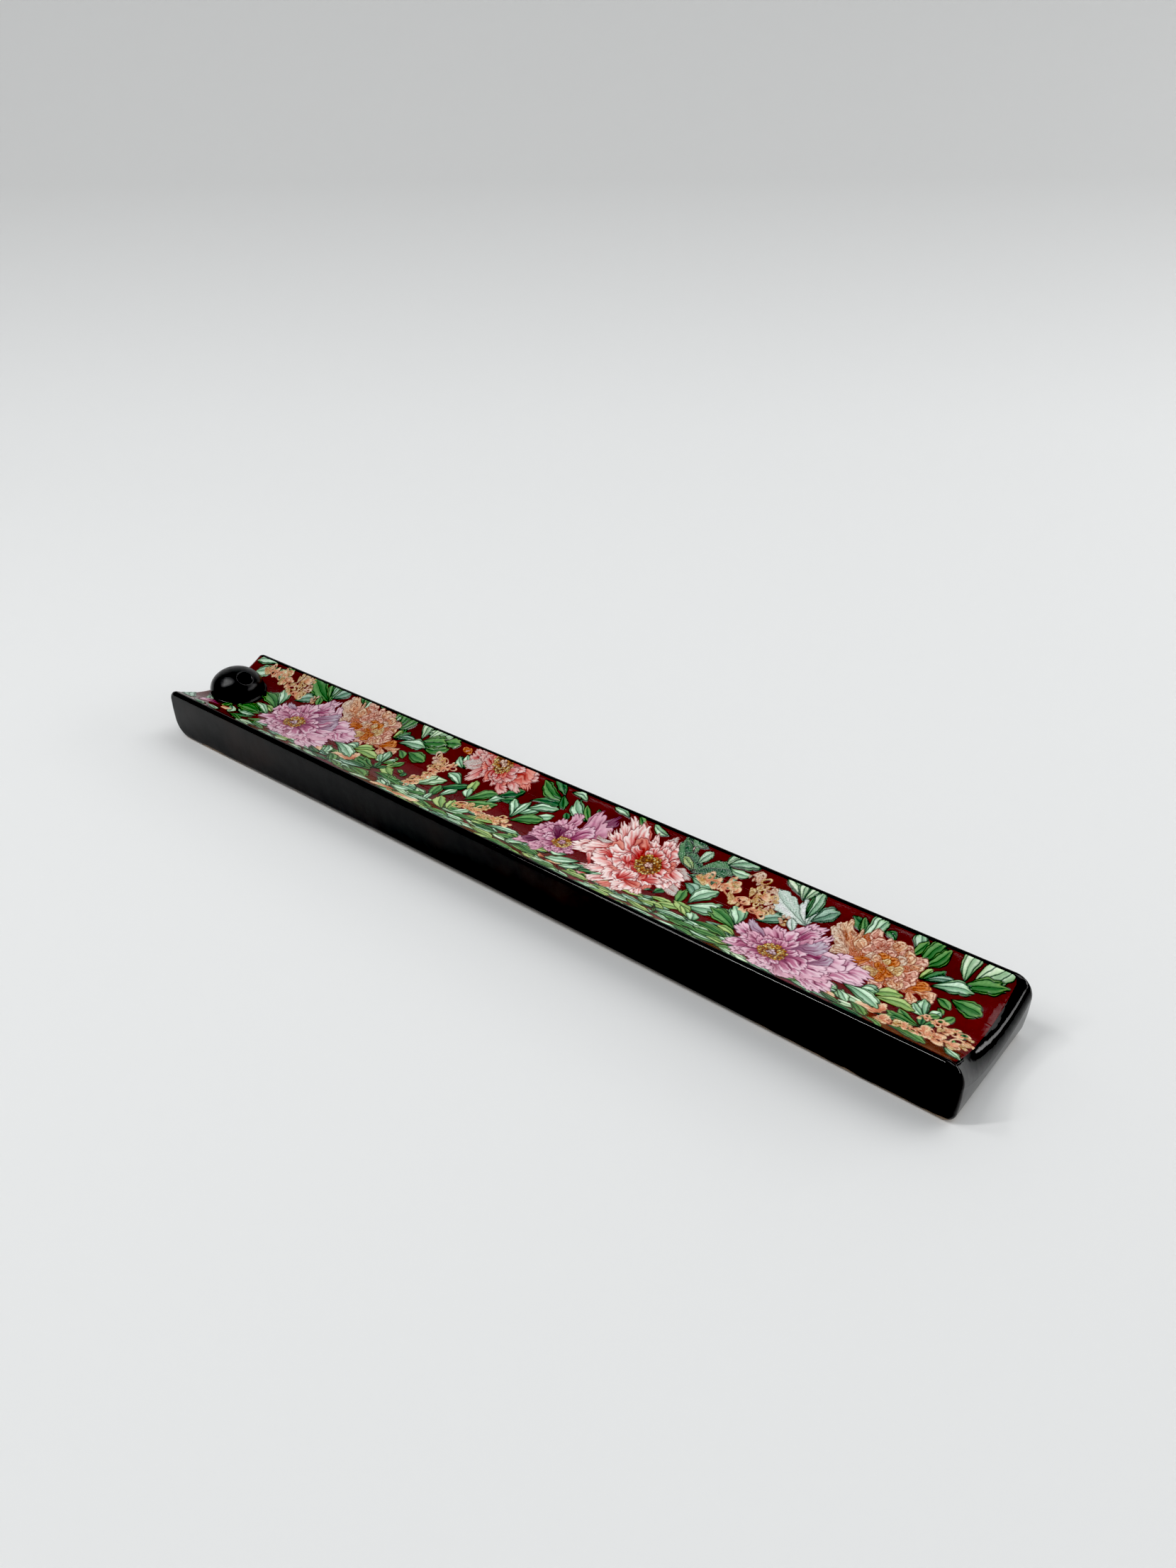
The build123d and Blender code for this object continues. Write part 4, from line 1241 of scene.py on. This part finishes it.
def enamel_material():
    """Glossy printed enamel: the drawing's colours, a fine orange peel and sand where it is drawn."""
    material, shader = new_material("printed_enamel")
    print_colour = add_node(material, "ShaderNodeAttribute", attribute_name="print")
    sand = add_node(material, "ShaderNodeAttribute", attribute_name="sand")
    mottle = add_range(material, add_noise(material, 900.0, 4.0), 0.92, 1.06)
    tint = add_node(material, "ShaderNodeHueSaturation")
    link(material, print_colour.outputs["Color"], tint.inputs["Color"])
    link(material, mottle, tint.inputs["Value"])
    link(material, tint.outputs["Color"], shader.inputs["Base Color"])
    sandy = add_range(material, sand.outputs["Fac"], 0.0, 0.12, 0.0, 1.0)
    glossy = add_range(material, add_noise(material, 2500.0), 0.14, 0.24)
    link(material, add_math(material, "ADD", sandy, glossy), shader.inputs["Roughness"])
    fine = add_bump(material, add_noise(material, 5200.0, 2.0), 0.35, 0.00003)
    peel = add_bump(material, add_noise(material, 700.0), 0.25, 0.0001, fine)
    link(material, peel, shader.inputs["Normal"])
    shader.inputs["Specular IOR Level"].default_value = 0.4
    return material


enamel = enamel_material()
for number in range(BAND_COUNT):
    band = enamel_band(number)
    band.data.materials.append(enamel)
    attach(band, BODY)
    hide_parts("trough_transfer")


# ---------------------------------------------------------------- glazes

BARE_HEIGHT = 0.0007
BARE_WAVER = 0.00025
SOLE_FACING = -0.9
CLAY_ROUGHNESS = 0.85


def bare_clay(material):
    """1 where the clay is bare: the foot of the walls, up to a wavering line, and the whole sole."""
    waver = add_range(material, add_noise(material, 160.0), -BARE_WAVER, BARE_WAVER)
    line = add_math(material, "ADD", add_up(material, "Position"), waver)
    foot_of_walls = add_range(material, line, 1.0, 0.0, BARE_HEIGHT * 0.6, BARE_HEIGHT * 1.4)
    sole = add_range(material, add_up(material, "Normal"), 1.0, 0.0, SOLE_FACING, SOLE_FACING + 0.2)
    return add_math(material, "MAXIMUM", foot_of_walls, sole)


def tray_material():
    """Black glaze with faint brown patches in a noise pattern, over clay that shows where it is wiped bare.
    """
    material, shader = new_material("black_glaze")
    glaze = add_ramp(material, add_noise(material, 55.0, 5.0, 0.6), [
        (0.35, (0.0022, 0.0018, 0.0018)),
        (0.55, (0.0040, 0.0028, 0.0026)),
        (0.75, (0.0150, 0.0080, 0.0060)),
    ])
    clay = add_ramp(material, add_noise(material, 900.0, 6.0), [
        (0.3, (0.26, 0.19, 0.14)),
        (0.7, (0.40, 0.31, 0.23)),
    ])
    bare = bare_clay(material)
    link(material, add_mix(material, bare, glaze, clay), shader.inputs["Base Color"])
    glossy = add_range(material, add_noise(material, 45.0, 5.0, 0.6), 0.08, 0.20, 0.3, 0.7)
    rough = add_node(material, "ShaderNodeMix", data_type="FLOAT")
    link(material, bare, rough.inputs["Factor"])
    link(material, glossy, rough.inputs["A"])
    rough.inputs["B"].default_value = CLAY_ROUGHNESS
    link(material, rough.outputs["Result"], shader.inputs["Roughness"])
    pits = add_bump(material, add_noise(material, 1500.0, 2.0), 0.25, 0.00003)
    ripple = add_bump(material, add_noise(material, 180.0, 2.0), 0.35, 0.00018, pits)
    link(material, ripple, shader.inputs["Normal"])
    shader.inputs["Specular IOR Level"].default_value = 0.38
    return material


def bead_material():
    """The same black glaze, thicker and less glossy on the small bead."""
    material, shader = new_material("bead_glaze")
    glaze = add_ramp(material, add_noise(material, 160.0, 4.0), [
        (0.35, (0.0022, 0.0020, 0.0024)),
        (0.7, (0.0080, 0.0056, 0.0056)),
    ])
    link(material, glaze, shader.inputs["Base Color"])
    link(material, add_range(material, add_noise(material, 600.0), 0.28, 0.40), shader.inputs["Roughness"])
    ripple = add_bump(material, add_noise(material, 420.0, 3.0), 0.4, 0.00012)
    link(material, ripple, shader.inputs["Normal"])
    shader.inputs["Specular IOR Level"].default_value = 0.5
    return material


def wear(node, material):
    """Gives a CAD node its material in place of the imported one."""
    node.data.materials.clear()
    node.data.materials.append(material)


bead_glaze = bead_material()
wear(tray, tray_material())
wear(bead, bead_glaze)


# ---------------------------------------------------------------- glaze that holds the bead

FOOT_STEPS = 96
CURVE_STEPS = 8
FOOT_INNER = 6.1
FOOT_TOUCH = 7.15
FOOT_OUTER = 8.2
FOOT_RISE = 0.75
FOOT_SINK = 0.12
FOOT_UNDERCUT = 0.1
CURVE_PULL = (FOOT_TOUCH + 0.1, 0.06)
CURVE_END = 0.01


def foot_profile(uneven):
    """Radius and height above the trough: a hollow curve from the bead outwards, closed below."""
    outer = FOOT_TOUCH + (FOOT_OUTER - FOOT_TOUCH) * uneven
    profile = [(FOOT_INNER, -FOOT_SINK)]
    for step in range(CURVE_STEPS + 1):
        t = step / CURVE_STEPS
        top, pull, end = (1 - t) ** 2, 2 * t * (1 - t), t ** 2
        radius = top * FOOT_TOUCH + pull * CURVE_PULL[0] + end * outer
        profile.append((radius, top * FOOT_RISE * uneven + pull * CURVE_PULL[1] + end * CURVE_END))
    profile.append((outer - FOOT_UNDERCUT, -FOOT_SINK))
    return profile


def bead_foot():
    """A ring of glaze drawn up between the trough and the bead."""
    centre_x = (bead_low.x + bead_high.x) / 2 / MM
    points = []
    for step in range(FOOT_STEPS):
        turn = 2.0 * math.pi * step / FOOT_STEPS
        uneven = 1.0 + 0.04 * math.sin(3.0 * turn + 0.8) + 0.03 * math.sin(7.0 * turn)
        for radius, above in foot_profile(uneven):
            x, y = centre_x + radius * math.cos(turn), radius * math.sin(turn)
            points.append((x * MM, y * MM, (float(trough_height(y)) + above) * MM))
    size = len(points) // FOOT_STEPS
    faces = []
    for step in range(FOOT_STEPS):
        this, following = step * size, (step + 1) % FOOT_STEPS * size
        for k in range(size):
            after = (k + 1) % size
            faces.append((this + k, following + k, following + after, this + after))
    return smooth_object("bead_foot_glaze", points, faces)


foot = bead_foot()
foot.data.materials.append(bead_glaze)
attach(foot, BODY)
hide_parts("bead_bond")


# ---------------------------------------------------------------- studio

SWEEP_START = 0.55
SWEEP_RADIUS = 0.25
SWEEP_HALF_WIDTH = 6.0
BEND_STEPS = 24
FLOOR_NEAR = -2.5
WALL_TOP = 2.0
WALL_SHADE_HEIGHT = 0.10
FLOOR_PAPER = (0.872, 0.876, 0.874)
# painted shade: the wall's darker paper stands in for the light falling off up the wall
WALL_PAINTED_SHADE = (0.66, 0.66, 0.655)
BLACK_POINT = 0.037
AIR_COLOUR = (0.95, 0.98, 1.0, 1.0)
AIR_STRENGTH = 0.40

# name, place, aim, width, height, watts
LIGHTS = [
    ("back_panel", (0.35, 0.65, 1.15), (0.0, 0.0, 0.0), 0.9, 0.9, 5.0),
    ("tall_window", (-0.31, -0.45, 0.83), (0.07, 0.0, 0.01), 0.042, 0.62, 2.7),
    ("left_panel", (-0.54, 0.53, 0.74), (-0.1, 0.0, 0.01), 0.42, 0.26, 1.3),
    ("top_panel", (-0.45, -0.26, 0.75), (-0.1, 0.0, 0.01), 0.12, 0.10, 0.7),
    ("side_panel", (0.66, 0.50, 0.31), (0.11, 0.0, 0.01), 0.80, 0.15, 1.55),
]


def shaded_paper_material():
    """Matt paper with painted shade: a little darker up the wall, standing in for the light falling off
    there.
    """
    material, shader = new_material("studio_paper_painted_shade")
    wall_shade = add_range(material, add_up(material, "Position"), 0.0, 1.0, 0.0, WALL_SHADE_HEIGHT)
    paper = add_ramp(material, wall_shade, [(0.0, FLOOR_PAPER), (1.0, WALL_PAINTED_SHADE)])
    link(material, paper, shader.inputs["Base Color"])
    shader.inputs["Roughness"].default_value = 0.9
    shader.inputs["Specular IOR Level"].default_value = 0.2
    return material


def studio_sweep():
    """One sheet of paper: floor, a wide bend and a wall, square to the camera."""
    ahead = Vector((math.sin(CAMERA_YAW), math.cos(CAMERA_YAW), 0.0))
    side = Vector((ahead.y, -ahead.x, 0.0))
    start = Vector((CAMERA_PLACE.x, CAMERA_PLACE.y, 0.0))
    line = [(FLOOR_NEAR, 0.0), (SWEEP_START, 0.0)]
    for step in range(1, BEND_STEPS + 1):
        turn = math.pi / 2 * step / BEND_STEPS
        line.append((SWEEP_START + SWEEP_RADIUS * math.sin(turn), SWEEP_RADIUS * (1.0 - math.cos(turn))))
    line.append((SWEEP_START + SWEEP_RADIUS, WALL_TOP))
    points = []
    for out, up in line:
        for sign in (-1.0, 1.0):
            points.append(start + ahead * out + side * (sign * SWEEP_HALF_WIDTH) + Vector((0.0, 0.0, up)))
    faces = [(2 * k, 2 * k + 1, 2 * k + 3, 2 * k + 2) for k in range(len(line) - 1)]
    sweep = smooth_object("studio_sweep", points, faces)
    sweep.data.materials.append(shaded_paper_material())


def add_area(name, place, aim, width, height, power):
    """A soft rectangular light at a place, aimed at a point."""
    data = bpy.data.lights.new(name, "AREA")
    data.shape = "RECTANGLE"
    data.size = width
    data.size_y = height
    data.energy = power
    light = add_object(name, data)
    light.location = place
    light.rotation_euler = (Vector(aim) - Vector(place)).to_track_quat("-Z", "Y").to_euler()


def light_studio():
    """Faint even air, the five lights, and a black point that deepens the darkest tones."""
    world = bpy.data.worlds.new("studio_air")
    world.use_nodes = True
    background = world.node_tree.nodes["Background"]
    background.inputs["Color"].default_value = AIR_COLOUR
    background.inputs["Strength"].default_value = AIR_STRENGTH
    bpy.context.scene.world = world
    for light in LIGHTS:
        add_area(*light)
    view = bpy.context.scene.view_settings
    view.view_transform = "Standard"
    view.use_curve_mapping = True
    view.curve_mapping.black_level = (BLACK_POINT, BLACK_POINT, BLACK_POINT)
    view.curve_mapping.update()


studio_sweep()
light_studio()
